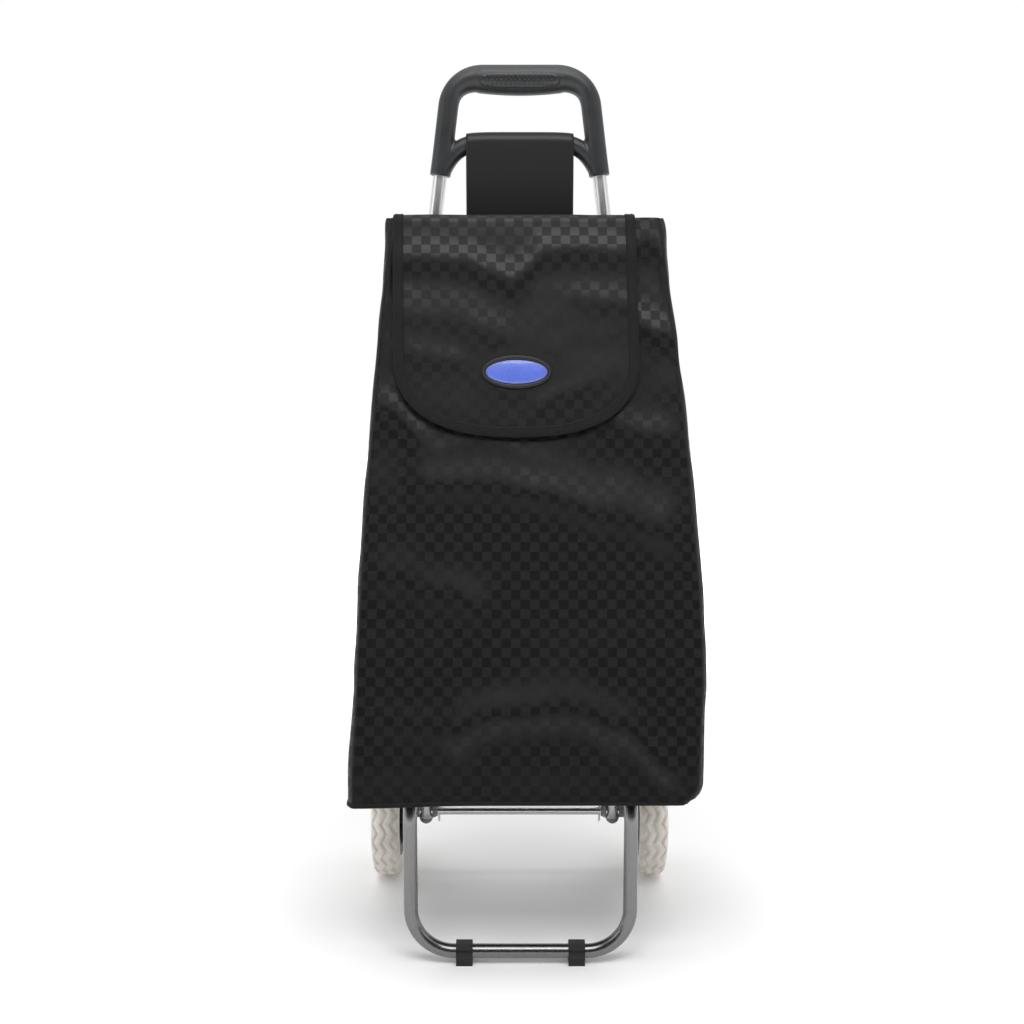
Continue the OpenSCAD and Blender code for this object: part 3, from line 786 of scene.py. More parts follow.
FRONT_FOLDS = [
    # crest line as (x, z) points, height, spread above, spread below
    ([(-0.11, 0.498), (-0.04, 0.496), (0.03, 0.484), (0.09, 0.462), (0.17, 0.440)], 5.6, 34, 20),
    ([(-0.07, 0.256), (-0.01, 0.268), (0.05, 0.271), (0.10, 0.254), (0.16, 0.208)], 4.8, 24, 17),
    ([(-0.19, 0.405), (-0.13, 0.400), (-0.08, 0.388), (-0.03, 0.365)], 3.6, 24, 20),
    ([(-0.18, 0.590), (-0.14, 0.570), (-0.10, 0.540)], 3.4, 18, 16),
    ([(0.12, 0.660), (0.145, 0.650), (0.19, 0.640)], 3.4, 16, 14),
    ([(0.08, 0.560), (0.13, 0.545), (0.19, 0.525)], 2.6, 18, 16),
    ([(-0.16, 0.262), (-0.10, 0.256), (-0.05, 0.240)], 2.0, 16, 16),
]
SPLIT_SHARE = (SPLIT_Z - BAG_HEM) / (BAG_TOP - BAG_HEM)
PANELS = ["front", "right", "back", "left"]
COLUMNS = {"front": 78, "right": 50, "back": 60, "left": 50}
CORNER_STEPS = 5
FRONT_COLUMN = CORNER_STEPS + 20  # a column that lies on the front panel
ROWS = 132


def fold_height(folds, x, z):
    """The height in metres of soft folds that run along crest lines."""
    total = 0.0
    for crest, height, above, below in folds:
        first, last = crest[0][0], crest[-1][0]
        window = smooth_step((x - first) / 0.03 + 0.5) * smooth_step((last - x) / 0.03 + 0.5)
        away = z - curve_value(crest, x)
        spread = (above if away > 0 else below) * MM
        total += window * height * MM * math.exp(-((away / spread) ** 2))
    return total


def hem_height(x, y):
    """Height of the bag's lower edge at a point of its outline: over the stand's arms
    at the back, and hanging lower in front."""
    back = smooth_step((y - 0.026) / 0.03)
    front = BAG_HEM - 1.2 * MM - 2.6 * MM * smooth_step((-x - 0.05) / 0.12)
    return front + (BAG_BASE + 0.4 * MM - front) * back


def bag_outline(t):
    """One loop of the shell, t up from 0 at the hem to 1 at the mouth: a list of
    (x, y, z, panel name)."""
    z_level = BAG_HEM + (BAG_TOP - BAG_HEM) * t
    left, right = left_half_width(z_level), right_half_width(z_level)
    right_back = right_half_width(max(z_level, RIGHT_CORNER_Z))
    near, far = front_y(z_level), BAG_BACK - 0.5 * MM
    r = (9 + 4 * t) * MM
    centres = [
        (-left + r, near + r, 180), (right - r, near + r, 270),
        (right_back - r, far - r, 0), (-left + r, far - r, 90),
    ]

    def on_corner(number, turn):
        x, y, start = centres[number % 4]
        a = math.radians(start + turn)
        return x + r * math.cos(a), y + r * math.sin(a)

    flat = []
    for i, panel in enumerate(PANELS):
        for k in range(CORNER_STEPS + 1):
            owner = PANELS[i - 1] if k < CORNER_STEPS / 2 else panel
            flat.append((*on_corner(i, 90 * k / CORNER_STEPS), owner))
        x0, y0 = on_corner(i, 90)
        x1, y1 = on_corner(i + 1, 0)
        for k in range(1, COLUMNS[panel]):
            share = k / COLUMNS[panel]
            flat.append((x0 + (x1 - x0) * share, y0 + (y1 - y0) * share, panel))
    loop = []
    for x, y, panel in flat:
        z = z_level + (hem_height(x, y) - BAG_HEM) * max(0.0, 1 - t / SPLIT_SHARE)
        slope = FRONT_SLOPE if panel == "front" else 0.0
        loop.append((x, y + slope * (z - z_level), z, panel))
    return loop


def settle(obj, pins, frames, spare, limit, stiff):
    """Lets obj hang as cloth with a little spare material, from its pinned points.
    No point moves further than limit from where it was."""
    rest = coordinates(obj.data)
    group = obj.vertex_groups.new(name="pins")
    for index, weight in enumerate(pins):
        if weight > 0:
            group.add([index], float(weight), "REPLACE")
    cloth = obj.modifiers.new("cloth", "CLOTH")
    cloth.settings.quality = 5
    cloth.settings.mass = 0.12
    cloth.settings.tension_stiffness = 12
    cloth.settings.compression_stiffness = 12
    cloth.settings.shear_stiffness = 6
    cloth.settings.bending_stiffness = stiff
    cloth.settings.air_damping = 3
    cloth.settings.vertex_group_mass = "pins"
    cloth.settings.shrink_min = -spare
    cloth.collision_settings.use_collision = False
    scene = bpy.context.scene
    for number in range(1, frames + 1):
        scene.frame_set(number)
    shape = obj.evaluated_get(bpy.context.evaluated_depsgraph_get())
    moved = coordinates(shape.data) - rest
    obj.modifiers.clear()
    obj.vertex_groups.clear()
    scene.frame_set(1)
    length = np.linalg.norm(moved, axis=1, keepdims=True)
    soft = limit * np.tanh(length / limit) / np.maximum(length, 1e-9)
    return moved * soft


def make_bag():
    """The bag's shell: its plain shape, its settled shape with folds, and each column's panel.
    It is later split level with the flap's lower edge into an upper and a lower part."""
    loops = [bag_outline((r / (ROWS - 1))) for r in range(ROWS)]
    columns = len(loops[0])
    base = np.array([[p[:3] for p in loop] for loop in loops])
    panels = [p[3] for p in loops[0]]
    work = new_object("bag_work", base.reshape(-1, 3), grid_faces(ROWS, columns, closed=True))
    normal = vertex_normals(work.data).reshape(ROWS, columns, 3)
    if normal[ROWS // 2, FRONT_COLUMN, 1] > 0:
        normal = -normal
    moved = np.zeros_like(base)
    t = np.linspace(0, 1, ROWS)
    pins = np.repeat(np.clip((t - 0.93) / 0.05, 0, 1), columns)
    moved = settle(work, pins, 16, 0.012, 5 * MM, 2.0).reshape(ROWS, columns, 3)
    moved *= np.clip(t / 0.3, 0, 1)[:, None, None] ** 1.5
    bpy.data.objects.remove(work)
    shape = base + moved
    for r in range(ROWS):
        t = r / (ROWS - 1)
        free = smooth_step(t / 0.06) * smooth_step((1 - t) / 0.05)
        for c in range(columns):
            x, y, z = base[r, c]
            n = normal[r, c]
            depth = (y - front_y(z)) / (BAG_BACK - front_y(z))
            push = 1.6 * MM * grain(x, y, z, 0.09) + 0.7 * MM * grain(x + 3, y, z, 0.035)
            if panels[c] == "front":
                edge = min(1.0, (0.165 - abs(x - 0.005)) / 0.03 + 0.3)
                push += fold_height(FRONT_FOLDS, x, z) * max(0.0, edge)
                push += 2.5 * MM * math.sin(math.pi * t) * (1 - (x / 0.18) ** 2)
            elif panels[c] in ("left", "right"):
                middle = math.sin(math.pi * min(1.0, max(0.0, depth)))
                push -= (7.0 + 4.0 * t) * MM * middle * smooth_step(t / 0.15)
                push += 2.4 * MM * middle * math.sin(z * 70 + 14 * y)
            push *= free
            if panels[c] == "back":
                push = min(push, 0.0) - 0.8 * MM
            shape[r, c] += n * push
            behind_flap = smooth_step((z - FLAP_LOW_Z) / 0.07 + 1) * smooth_step(
                (FLAP_HALF + 12 * MM - abs(x - flap_shift(z))) / 0.012
            )
            if panels[c] == "front":
                ahead = (Vector(shape[r, c]) - Vector(base[r, c])).dot(Vector(n))
                if ahead > -0.6 * MM:
                    shape[r, c] -= n * (ahead + 0.6 * MM) * behind_flap
            shape[r, c, 1] = min(shape[r, c, 1], BAG_BACK)
    # sewn corners: a shallow groove beside a narrow ridge, where two panels join
    for c in range(columns):
        if panels[c] != panels[c - 1]:
            for r in range(ROWS):
                shape[r, c] -= normal[r, c] * 0.5 * MM
                shape[r, (c + 1) % columns] += normal[r, c] * 0.6 * MM
    return base, shape, panels


def shell_normals(shape):
    """Outward unit normals of a closed grid of points."""
    up = np.gradient(shape, axis=0)
    around = np.roll(shape, -1, axis=1) - np.roll(shape, 1, axis=1)
    n = np.cross(around, up)
    return n / np.maximum(np.linalg.norm(n, axis=2, keepdims=True), 1e-9)


def bag_part(name, base, shape, normal, panels, first, last, mouth, replaced):
    """Rows first..last of the shell as a wall one cloth thick. mouth adds the hem that
    turns in over the top edge."""
    outer = shape[first : last + 1]
    out_n = normal[first : last + 1]
    flat = base[first : last + 1]
    rows = [outer[i] for i in range(len(outer))]
    normals = [out_n[i] for i in range(len(outer))]
    sources = [flat[i] for i in range(len(outer))]
    up = np.array([0.0, 0.0, 1.0])
    if mouth:
        for a in (30, 60, 90, 120, 150):
            s, c = math.sin(math.radians(a)), math.cos(math.radians(a))
            rows.append(outer[-1] - out_n[-1] * 1.6 * MM * (1 - c) + up * 1.6 * MM * s)
            normals.append(out_n[-1] * c + up * s)
            sources.append(flat[-1] + up * 1.6 * MM * s)
        for drop in (0.0, 6.0, 12.0, 17.0):
            rows.append(outer[-1] - out_n[-1] * 3.2 * MM - up * drop * MM)
            normals.append(-out_n[-1])
            sources.append(flat[-1] - up * drop * MM)
        rows.append(outer[-1] - out_n[-1] * 1.6 * MM - up * 18 * MM)
        normals.append(-out_n[-1])
        sources.append(flat[-1] - up * 18 * MM)
        inner = range(len(outer) - 6, -1, -1)
    else:
        inner = range(len(outer) - 1, -1, -1)
    for i in inner:
        rows.append(outer[i] - out_n[i] * CLOTH)
        normals.append(-out_n[i])
        sources.append(flat[i])
    columns = len(panels)
    points = np.concatenate(rows)
    faces = grid_faces(len(rows), columns, closed=True)
    if first == 0:  # close the hem's lower edge
        a, b = 0, (len(rows) - 1) * columns
        faces += [(b + c, b + (c + 1) % columns, (c + 1) % columns, c) for c in range(columns)]
    obj = new_object(name, points, faces)
    flat_points = np.concatenate(sources)
    names = panels * len(rows)
    stretch = 1 / math.cos(LEAN)
    layer = obj.data.uv_layers.new(name="weave")
    for face in obj.data.polygons:
        panel = names[sorted(face.vertices)[0]]
        for loop in face.loop_indices:
            x, y, z = flat_points[obj.data.loops[loop].vertex_index]
            if panel == "front":
                layer.data[loop].uv = (x, z * stretch)
            elif panel == "back":
                layer.data[loop].uv = (x + 0.004, z)
            else:
                layer.data[loop].uv = (y + 0.003, z)
    directions = np.concatenate(normals)
    directions /= np.maximum(np.linalg.norm(directions, axis=1, keepdims=True), 1e-9)
    obj.data.normals_split_custom_set_from_vertices([tuple(d) for d in directions])
    return finish_piece(obj, "frame", CLOTH_MATERIAL, replaced)


def crumple(obj):
    """Gives the piece its own copy of its mesh."""
    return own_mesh(obj)


BAG_BASE_SHAPE, BAG_SHAPE, BAG_PANELS = make_bag()
BAG_NORMALS = shell_normals(BAG_SHAPE)
if BAG_NORMALS[ROWS // 2, FRONT_COLUMN, 1] > 0:
    BAG_NORMALS = -BAG_NORMALS
SPLIT_ROW = round((SPLIT_Z - BAG_HEM) / (BAG_TOP - BAG_HEM) * (ROWS - 1))
SPLIT_Z = float(BAG_BASE_SHAPE[SPLIT_ROW, FRONT_COLUMN, 2])
BAG_SHAPE[SPLIT_ROW, :, 2] = SPLIT_Z
PANEL_NODES = ["bag_front_panel", "bag_back_panel", "bag_left_panel", "bag_right_panel"]
bag_part(
    "bag_upper", BAG_BASE_SHAPE, BAG_SHAPE, BAG_NORMALS, BAG_PANELS,
    SPLIT_ROW, ROWS - 1, True, PANEL_NODES + ["bag_mouth_hem"],
)
crumple(
    bag_part(
        "bag_lower", BAG_BASE_SHAPE, BAG_SHAPE, BAG_NORMALS, BAG_PANELS,
        0, SPLIT_ROW, False, PANEL_NODES,
    )
)


def bag_floor():
    """The bag's bottom: cloth that sags between the arms, inside the walls."""
    ring = [Vector(p) for p in bag_ring_at(BAG_BASE + 3 * MM, 3.2 * MM)]
    return level_disc("bag_floor", ring, BAG_BASE + 0.3 * MM, 1.2 * MM, 2.0 * MM)


def bag_ring_at(z, inset):
    """The shell's outline at height z, moved in by inset."""
    t = (z - BAG_HEM) / (BAG_TOP - BAG_HEM)
    row = min(ROWS - 1, max(0, round(t * (ROWS - 1))))
    ring = BAG_SHAPE[row] - BAG_NORMALS[row] * inset
    return [(p[0], p[1], z) for p in ring]


def level_disc(name, ring, z, thickness, sag):
    """A level sheet inside ring, which hangs a little between its edges."""
    centre = sum(ring, Vector()) / len(ring)
    count, rings = len(ring), 16
    points = []
    for side in (0, 1):
        for r in range(rings):
            share = 1 - r / rings
            for p in ring:
                q = centre.lerp(p, share)
                low = sag * max(0.0, math.cos(math.pi * q.x / 0.21)) * (1 - share**4)
                points.append((q.x, q.y, z + side * thickness - low))
    faces = []
    for side in (0, 1):
        start = side * rings * count
        grid = grid_faces(rings, count, closed=True, start=start)
        last = start + (rings - 1) * count
        grid.append(tuple(last + k for k in range(count)))
        faces += [f[::-1] for f in grid] if side == 0 else grid
    top = rings * count
    faces += [(k, (k + 1) % count, top + (k + 1) % count, top + k) for k in range(count)]
    return fix_normals(new_object(name, points, faces))


floor_cloth = bag_floor()
set_uv(floor_cloth, lambda n, v: tuple(floor_cloth.data.vertices[v].co[:2]))
crumple(finish_piece(floor_cloth, "frame", CLOTH_MATERIAL, ["bag_bottom_panel"]))

board_ring = [Vector(p) for p in bag_ring_at(BOARD_LOW.z, 9 * MM)]
board = level_disc("stiff_base", board_ring, BOARD_LOW.z + 0.2 * MM, BOARD_HIGH.z - BOARD_LOW.z, 0.0)
crumple(finish_piece(board, "frame", MATERIALS["board"], ["base_board"]))


def hem_binding():
    """Tape folded over the lower edge of the front and sides."""
    ring = BAG_SHAPE[0]
    lift = BAG_SHAPE[3]
    out = BAG_NORMALS[1]
    count = len(ring)
    section = [
        (-2.4, 4.0), (-2.6, 0.4), (-1.6, -0.8), (-0.2, -1.2),
        (0.9, -0.5), (1.1, 0.8), (0.9, 2.9), (0.3, 3.6),
    ]
    points = []
    for d, h in section:
        for k in range(count):
            up = Vector(lift[k] - ring[k]).normalized()
            points.append(Vector(ring[k]) + Vector(out[k]) * d * MM + up * h * MM)
    faces = grid_faces(len(section), count, closed=True)
    last = (len(section) - 1) * count
    faces += [(last + k, last + (k + 1) % count, (k + 1) % count, k) for k in range(count)]
    return fix_normals(new_object("hem_binding", points, faces))


crumple(finish_piece(hem_binding(), "frame", TAPE, ["bag_bottom_piping"]))


# ---------------------------------------------------------------- flap

FLAP_GAP = 2.4 * MM
FLAP_TURN_R = 7 * MM
FLAP_BACK_Y = BAG_BACK - 1.8 * MM
FLAP_TOP_Z = BAG_TOP + 1.9 * MM
FLAP_FOLDS = [
    ([(-0.15, 0.719), (-0.10, 0.727), (-0.05, 0.724), (-0.022, 0.711), (-0.002, 0.702),
      (0.012, 0.714), (0.028, 0.733), (0.06, 0.736), (0.15, 0.730)], 3.4, 14, 18),
    ([(-0.14, 0.672), (-0.07, 0.668), (-0.01, 0.645)], 1.3, 22, 18),
    ([(0.06, 0.684), (0.10, 0.680), (0.15, 0.668)], 1.1, 14, 14),
    ([(-0.115, 0.630), (-0.09, 0.622), (-0.05, 0.618)], 0.8, 10, 14),
    ([(0.02, 0.575), (0.05, 0.585), (0.09, 0.600)], 0.8, 14, 14),
]
FLAP_COLUMNS, FLAP_ROWS = 96, 120


def flap_end_z(x):
    """Height of the flap's lower edge at x: rounded corners and a slight bow."""
    share = min(1.0, abs(x) / FLAP_HALF)
    return FLAP_LOW_Z + 82 * MM * (1 - (1 - share**2.45) ** (1 / 2.45))


def flap_profile(s):
    """The flap's side view: (y, z, normal y, normal z) at length s from its sewn edge."""
    corner_y = front_y(FLAP_TOP_Z) - FLAP_GAP
    turn = math.pi / 2 - LEAN
    setback = FLAP_TURN_R * math.tan(turn / 2)
    flat = FLAP_BACK_Y - corner_y - setback
    if s <= flat:
        return FLAP_BACK_Y - s, FLAP_TOP_Z, 0.0, 1.0
    a = (s - flat) / FLAP_TURN_R
    if a <= turn:
        y = FLAP_BACK_Y - flat - FLAP_TURN_R * math.sin(a)
        return y, FLAP_TOP_Z - FLAP_TURN_R * (1 - math.cos(a)), -math.sin(a), math.cos(a)
    rest = s - flat - FLAP_TURN_R * turn
    y = FLAP_BACK_Y - flat - FLAP_TURN_R * math.sin(turn)
    z = FLAP_TOP_Z - FLAP_TURN_R * (1 - math.cos(turn))
    return (
        y - rest * math.cos(turn),
        z - rest * math.sin(turn),
        -math.sin(turn),
        math.cos(turn),
    )


def flap_length_at(z):
    """Length from the sewn edge down to height z on the front."""
    low, high = 0.06, 0.45
    for _ in range(40):
        middle = (low + high) / 2
        if flap_profile(middle)[1] > z:
            low = middle
        else:
            high = middle
    return low


BADGE_Z = (BADGE_LOW.z + BADGE_HIGH.z) / 2


def flap_point(x, s, proud=0.0):
    """A point of the flap's outer face, with its folds, at x and length s."""
    y, z, ny, nz = flap_profile(s)
    hang = smooth_step((s - 0.05) / 0.04)
    push = fold_height(FLAP_FOLDS, x, z) * hang
    push += hang * (0.7 * MM * (1 + grain(x, z, 5, 0.06)) + 0.25 * MM * grain(x, z, 9, 0.02))
    push += (1 - hang) * 0.25 * MM * (1 + grain(x, s, 3, 0.03))
    badge = ((x / (48 * MM)) ** 2 + ((z - BADGE_Z) / (28 * MM)) ** 2) * hang + 9 * (1 - hang)
    calm = smooth_step((badge - 0.6) / 0.8)
    push = push * calm + 0.8 * MM * (1 - calm)
    push += CLOTH + proud
    return Vector((x + flap_shift(z), y + ny * push, z + nz * push))


def flap_normal(x, s):
    e = 1.5 * MM
    across = flap_point(x + e, s) - flap_point(x - e, s)
    along = flap_point(x, s + e) - flap_point(x, s - e)
    n = across.cross(along).normalized()
    _, _, ny, nz = flap_profile(s)
    return n if n.y * ny + n.z * nz > 0 else -n


def flap_lift(x, s, proud):
    return flap_point(x, s) + flap_normal(x, s) * proud


def make_flap():
    flat_uv, outer, inner = [], [], []
    for r in range(FLAP_ROWS):
        for c in range(FLAP_COLUMNS):
            x = FLAP_HALF * math.sin(math.pi * (c / (FLAP_COLUMNS - 1) - 0.5))
            s = flap_length_at(flap_end_z(x)) * r / (FLAP_ROWS - 1) if r else 0.0
            outer.append(flap_point(x, s))
            inner.append(flap_point(x, s) - flap_normal(x, s) * CLOTH)
            flat_uv.append((x, -s + 0.0025))
    count = len(outer)
    faces = sheet_faces(FLAP_ROWS, FLAP_COLUMNS)
    obj = fix_normals(new_object("bag_flap", outer + inner, faces))
    set_uv(obj, lambda n, v: flat_uv[v % count])
    return finish_piece(obj, "flap", CLOTH_MATERIAL, ["flap_panel"])


def flap_outline():
    """(x, s) points down the left edge, round the bottom and up the right edge."""
    half = [FLAP_HALF * math.sin(math.pi / 2 * k / 90) for k in range(91)]
    right = [(x, flap_length_at(flap_end_z(x))) for x in half]
    s_corner = right[-1][1]
    straight = [(FLAP_HALF, s_corner * (1 - k / 60)) for k in range(1, 61)]
    side = right + straight
    return [(-x, s) for x, s in reversed(side)] + side[1:]


def even_outline(step):
    """The outline again with points a step apart, as (x, s, inward x, inward s)."""
    line = flap_outline()
    lengths = [0.0]
    for (x0, s0), (x1, s1) in zip(line, line[1:]):
        lengths.append(lengths[-1] + math.hypot(x1 - x0, s1 - s0))
    count = round(lengths[-1] / step)
    places = np.linspace(0, lengths[-1], count + 1)
    xs = np.interp(places, lengths, [p[0] for p in line])
    ss = np.interp(places, lengths, [p[1] for p in line])
    result = []
    for i in range(count + 1):
        a, b = max(0, i - 2), min(count, i + 2)
        dx, ds = xs[b] - xs[a], ss[b] - ss[a]
        size = math.hypot(dx, ds)
        result.append((xs[i], ss[i], ds / size, -dx / size))
    return result


def make_binding():
    """Tape folded over the flap's edge, 10 mm wide on both faces."""
    section = [
        (9.8, 0.1), (9.2, 0.75), (7.0, 0.95), (3.0, 0.95), (0.6, 0.9), (-0.7, 0.3),
        (-1.2, -0.9), (-0.7, -1.9), (0.6, -2.25), (6.0, -2.2), (9.4, -2.0), (9.6, -1.4),
    ]
    line = even_outline(3 * MM)
    points = []
    for inward, proud in section:
        for i, (x, s, nx, ns) in enumerate(line):
            ripple = 0.12 * MM * grain(i * 0.7, proud, 2, 1.0)
            px, ps = x + nx * inward * MM, max(0.0, s + ns * inward * MM)
            points.append(flap_lift(px, ps, proud * MM + ripple))
    count = len(line)
    faces = grid_faces(len(section), count)
    last = (len(section) - 1) * count
    faces += [(last + k, last + k + 1, k + 1, k) for k in range(count - 1)]
    ends = [tuple(r * count for r in range(len(section)))]
    ends.append(tuple(r * count + count - 1 for r in reversed(range(len(section)))))
    obj = fix_normals(new_object("flap_tape", points, faces + ends))
    return finish_piece(obj, "flap", TAPE, ["flap_binding"])


STITCH_RINGS = [  # share of its length, thickness, height above the cloth
    (0.0, 0.35, -0.6), (0.2, 0.9, 0.35), (0.5, 1.0, 0.6), (0.8, 0.9, 0.35), (1.0, 0.35, -0.6),
]


def stitch(points, faces, start, end, out, radius):
    """Adds one stitch: a small bead that dips into the cloth at both ends."""
    along = end - start
    side = along.cross(out).normalized()
    first = len(points)
    for share, size, height in STITCH_RINGS:
        centre = start + along * share + out * radius * height
        for a in (0, 60, 120, 180, 240, 300):
            angle = math.radians(a)
            points.append(
                centre + side * radius * size * math.cos(angle) + out * radius * size * math.sin(angle)
            )
    for r in range(4):
        for k in range(6):
            a, b = first + r * 6, first + (r + 1) * 6
            faces.append((a + k, a + (k + 1) % 6, b + (k + 1) % 6, b + k))


def flap_stitches():
    points, faces = [], []
    line = even_outline(1.0 * MM)
    for inset in (2.2, 8.2):
        for i in range(6, len(line) - 6, 4):
            ends = []
            for j in (i, i + 3):
                x, s, nx, ns = line[j]
                ends.append((x + nx * inset * MM, max(0.0, s + ns * inset * MM)))
            a, b = (flap_lift(x, s, 0.95 * MM) for x, s in ends)
            stitch(points, faces, a, b, flap_normal(*ends[0]), 0.38 * MM)
    obj = fix_normals(new_object("flap_stitches", points, faces))
    return finish_piece(obj, "flap", THREAD)


def oval_rings(name, rings, close):
    """A raised oval from (half width, half height, proud) rings, outermost first."""
    points, steps = [], 96
    centre = flap_length_at(BADGE_Z)
    out = flap_normal(0, centre)
    origin = flap_point(0, centre)
    down = (flap_point(0, centre + 5 * MM) - flap_point(0, centre - 5 * MM)).normalized()
    for half_w, half_h, proud in rings:
        for k in range(steps):
            a = 2 * math.pi * k / steps
            points.append(
                origin
                + Vector((1, 0, 0)) * half_w * MM * math.cos(a)
                - down * half_h * MM * math.sin(a)
                + out * proud * MM
            )
    faces = grid_faces(len(rings), steps, closed=True)
    if close:
        last = (len(rings) - 1) * steps
        faces.append(tuple(last + k for k in range(steps)))
        faces.append(tuple(reversed(range(steps))))
    else:
        last = (len(rings) - 1) * steps
        faces += [(last + k, last + (k + 1) % steps, (k + 1) % steps, k) for k in range(steps)]
    return fix_normals(new_object(name, points, faces))


def make_badge():
    rim = oval_rings(
        "badge_border",
        [(36.4, 17.8, -0.6), (36.4, 17.8, 1.2), (35.9, 17.3, 2.0), (34.8, 16.2, 2.4),
         (33.6, 14.6, 2.3), (32.9, 13.6, 1.9), (32.6, 13.1, 1.2), (32.6, 13.1, -0.6)],
        close=False,
    )
    finish_piece(rim, "flap", MATERIALS["badge_black"], ["badge_rim"])
    face = [(32.3, 12.7, 0.2), (32.3, 12.7, 1.3)]
    for k in range(1, 12):
        share = 1 - k / 12
        face.append((32.3 * share, 12.7 * share, 1.3 + 0.9 * (1 - share**2)))
    blue = oval_rings("badge_enamel", face, close=True)
    finish_piece(blue, "flap", MATERIALS["badge_blue"], ["badge_face"])
    line = oval_rings(
        "badge_inset",
        [(30.9, 11.5, 1.2), (30.9, 11.5, 1.55), (30.6, 11.2, 1.62), (30.3, 10.9, 1.58), (30.3, 10.9, 1.2)],
        close=False,
    )
    finish_piece(line, "flap", SILVER)


def velcro(name, node, body, side):
    """A strip of hook and loop tape, with its fuzzy face and sewn edge."""
    low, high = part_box(node)
    half_w, half_h = (high.x - low.x) / 2, (high.z - low.z) / 2
    columns, rows = 60, 18
    points = []
    for face in (0, 1):
        for r in range(rows):
            for c in range(columns):
                u, v = 2 * c / (columns - 1) - 1, 2 * r / (rows - 1) - 1
                x = u * half_w
                z = (low.z + high.z) / 2 + v * half_h
                edge = min(1.0, (1 - abs(u)) * 18) * min(1.0, (1 - abs(v)) * 6)
                fuzz = 0.12 * MM * noise.noise(Vector((x * 2100, z * 2100, 1)))
                share = 0.15 if face == 0 else 0.55 + 0.35 * edge + fuzz / MM
                y_in = front_y(z) - 0.05 * MM
                if side == "loop":
                    y = y_in - share * MM * 0.9
                else:
                    y = front_y(z) - FLAP_GAP - 0.1 * MM + share * MM * 0.9
                points.append((x, y, z))
    obj = fix_normals(new_object(name, points, sheet_faces(rows, columns)))
    return finish_piece(obj, body, VELCRO, [node])


bag_flap = make_flap()
flap_tape = make_binding()
stitches = flap_stitches()
make_badge()
velcro("loop_strip", "velcro_loop", "frame", "loop")
velcro("hook_strip", "velcro_hook", "flap", "hook")


# ---------------------------------------------------------------- strap over the crossbar

STRAP_HALF = STRAP_HIGH.x
STRAP_R = CROSSBAR_R + 0.35 * MM


def strap_path():
    """The strap's side view, as (y, z): up the bag's back, over the crossbar and down
    behind, to where it is sewn to itself."""
    front = AXLE_Y - STRAP_R - CLOTH / 2
    path = [(front, STRAP_LOW.z + (CROSSBAR_Z - STRAP_LOW.z) * i / 26) for i in range(27)]
    r = STRAP_R + CLOTH / 2
    path += [
        (AXLE_Y - r * math.cos(math.radians(a)), CROSSBAR_Z + r * math.sin(math.radians(a)))
        for a in range(9, 181, 9)
    ]
    back = AXLE_Y + r
    for i in range(1, 17):
        t = i / 16
        y = back + (front + CLOTH + 0.2 * MM - back) * smooth_step(t * 1.05)
        path.append((y, CROSSBAR_Z - t * 66 * MM))
    return path


def strap_bulge(z):
    """How far back the strap stands just above the bag, clear of the open flap."""
    return 2.0 * MM * smooth_step((z - 0.752) / 0.014) * smooth_step((0.825 - z) / 0.03)


def hanging_strap():
    path = strap_path()
    lengths = [0.0]
    for (y0, z0), (y1, z1) in zip(path, path[1:]):
        lengths.append(lengths[-1] + math.hypot(y1 - y0, z1 - z0))
    columns = 42
    outer, inner, uv = [], [], []
    for i, (y, z) in enumerate(path):
        y0, z0 = path[max(0, i - 1)]
        y1, z1 = path[min(len(path) - 1, i + 1)]
        size = math.hypot(y1 - y0, z1 - z0)
        ny, nz = -(z1 - z0) / size, (y1 - y0) / size
        for c in range(columns):
            x = STRAP_HALF * (2 * c / (columns - 1) - 1)
            over = smooth_step((z - 0.80) / 0.05)
            drop = 0.4 * crossbar_drop(x) * over
            wave = 0.5 * MM * grain(x, z, y, 0.05) * (1 - over * 0.7)
            if i < 27:
                wave = min(0.1 * MM, wave) if z < 0.80 else wave
            y_hung = y + strap_bulge(z)
            out, back = CLOTH / 2 + wave, CLOTH / 2 - wave
            outer.append(Vector((x, y_hung + ny * out, z - drop + nz * out)))
            inner.append(Vector((x, y_hung - ny * back, z - drop - nz * back)))
            uv.append((x + 0.0049, lengths[i]))
    count = len(outer)
    obj = fix_normals(new_object("top_strap", outer + inner, sheet_faces(len(path), columns)))
    set_uv(obj, lambda n, v: uv[v % count])
    piece = finish_piece(obj, "frame", STRAP_MATERIAL, ["hanging_strap"])
    return piece, lengths[-1]


top_strap, strap_length = hanging_strap()


def tie_loops():
    """A tape loop round each back tube, sewn to the bag's back."""
    points, faces = [], []
    z0, z1 = TIE_LOW.z, TIE_HIGH.z
    for side in (-1, 1):
        path = [(6.0, -11.6), (3.0, -11.3)]
        path += [
            (9.0 * math.sin(math.radians(a)), -9.0 * math.cos(math.radians(a)))
            for a in range(20, 341, 16)
        ]
        path += [(-3.0, -11.3), (-6.0, -11.6)]
        start = len(points)
        rows = 9
        for r in range(rows):
            z = z0 + (z1 - z0) * r / (rows - 1)
            for x, y in path:
                bulge = 0.3 * MM * math.sin(math.pi * r / (rows - 1))
                scale = 1 + bulge / (9 * MM)
                points.append(
                    Vector((side * TUBE_X + x * MM * scale, AXLE_Y + y * MM * scale, z))
                )
        faces += grid_faces(rows, len(path), start=start)
    obj = fix_normals(new_object("tie_loops", points, faces))
    thick = obj.modifiers.new("thick", "SOLIDIFY")
    thick.thickness = 0.9 * MM
    thick.offset = 1
    bake(obj)
    return finish_piece(obj, "frame", TAPE, ["tie_straps"])


crumple(tie_loops())


# ---------------------------------------------------------------- floor, light and camera


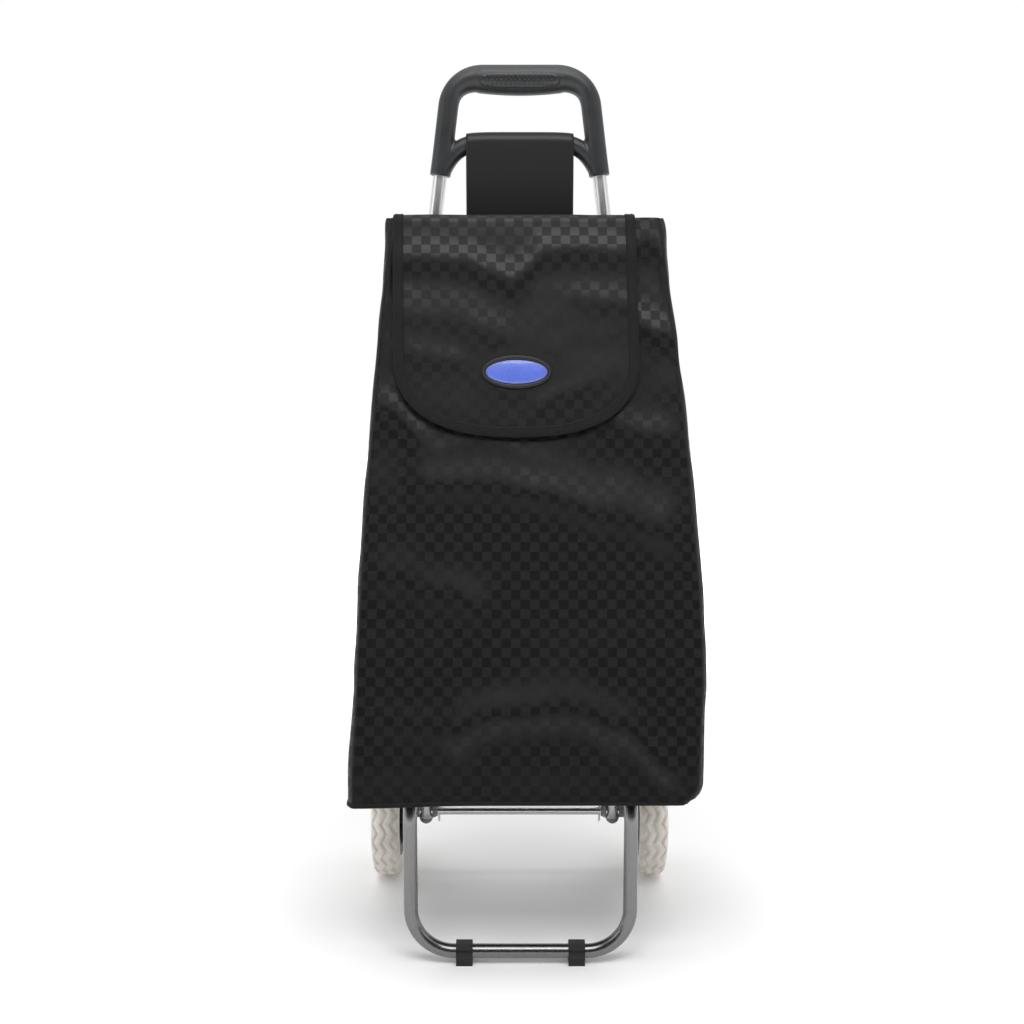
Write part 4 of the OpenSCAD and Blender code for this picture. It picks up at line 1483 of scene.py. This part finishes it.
def make_floor():
    size, steps = 6.0, 24
    points = [
        (size * (2 * i / steps - 1), size * (2 * j / steps - 1), 0.0)
        for j in range(steps + 1)
        for i in range(steps + 1)
    ]
    obj = new_object("studio_floor", points, grid_faces(steps + 1, steps + 1))
    n = Nodes("studio_floor")
    dust = n.noise(n.position(), 6.0, 3.0)
    n.set(
        Base_Color=n.colours(dust, (0.93, 0.93, 0.935), (0.95, 0.95, 0.95), (0.3, 0.7)),
        Roughness=n.between(dust, 0.6, 0.75),
    )
    # The floor glows: painted light that grows with distance from the bag, faint near it where it lightens
    # the bag's shadow, full white far off
    away = n.add("ShaderNodeVectorMath", operation="LENGTH")
    n.link(n.add("ShaderNodeTexCoord").outputs["Object"], away.inputs[0])
    painted_glow = n.add("ShaderNodeMapRange", interpolation_type="SMOOTHSTEP")
    painted_glow.inputs["From Min"].default_value = 0.35
    painted_glow.inputs["From Max"].default_value = 1.5
    painted_glow.inputs["To Min"].default_value = 0.085
    painted_glow.inputs["To Max"].default_value = 1.0
    n.link(away.outputs["Value"], painted_glow.inputs["Value"])
    n.set(Specular_IOR_Level=0.25, Emission_Color=(1, 1, 1, 1), Emission_Strength=painted_glow.outputs["Result"])
    obj.data.materials.append(n.material)


def make_world():
    """A white studio: bright behind the object and dim in front of it. The camera
    itself sees plain white."""
    world = bpy.data.worlds.new("studio")
    bpy.context.scene.world = world
    world.use_nodes = True
    tree = world.node_tree
    background = tree.nodes["Background"]
    coords = tree.nodes.new("ShaderNodeTexCoord")
    split = tree.nodes.new("ShaderNodeSeparateXYZ")
    tree.links.new(coords.outputs["Generated"], split.inputs[0])
    ramp = tree.nodes.new("ShaderNodeMapRange")
    ramp.inputs["From Min"].default_value = -0.35
    ramp.inputs["From Max"].default_value = 0.45
    ramp.inputs["To Min"].default_value = 0.02
    ramp.inputs["To Max"].default_value = 0.95
    tree.links.new(split.outputs["Y"], ramp.inputs["Value"])
    path = tree.nodes.new("ShaderNodeLightPath")
    mix = tree.nodes.new("ShaderNodeMix")
    mix.data_type = "FLOAT"
    tree.links.new(path.outputs["Is Camera Ray"], mix.inputs[0])
    tree.links.new(ramp.outputs["Result"], mix.inputs[2])
    mix.inputs[3].default_value = 1.0
    tree.links.new(mix.outputs[0], background.inputs["Strength"])
    background.inputs["Color"].default_value = (1, 1, 1, 1)


def area_light(name, place, target, width, height, power):
    data = bpy.data.lights.new(name, "AREA")
    data.shape = "RECTANGLE"
    data.size, data.size_y = width, height
    data.energy = power
    obj = bpy.data.objects.new(name, data)
    obj.location = place
    obj.rotation_euler = (Vector(target) - Vector(place)).to_track_quat("-Z", "Y").to_euler()
    bpy.context.scene.collection.objects.link(obj)


make_floor()
make_world()
area_light("top", (0.0, -0.4, 2.6), (0, 0, 0), 2.6, 2.0, 29)
area_light("left", (-2.0, -0.7, 1.3), (0, 0, 0.45), 1.0, 1.8, 9)
area_light("right", (2.0, -0.7, 1.3), (0, 0, 0.45), 1.0, 1.8, 7)
area_light("front_high", (0.1, -1.5, 2.5), (0, 0, 0.5), 2.0, 0.9, 33)

camera = bpy.data.objects.new("camera", bpy.data.cameras.new("camera"))
camera.data.lens = 43.6
camera.data.sensor_width = 36
camera.location = (-0.0088, -1.353, 0.631)
camera.rotation_euler = (math.radians(82.5), 0, 0)
bpy.context.scene.collection.objects.link(camera)
bpy.context.scene.camera = camera
bpy.context.scene.view_settings.view_transform = "Standard"
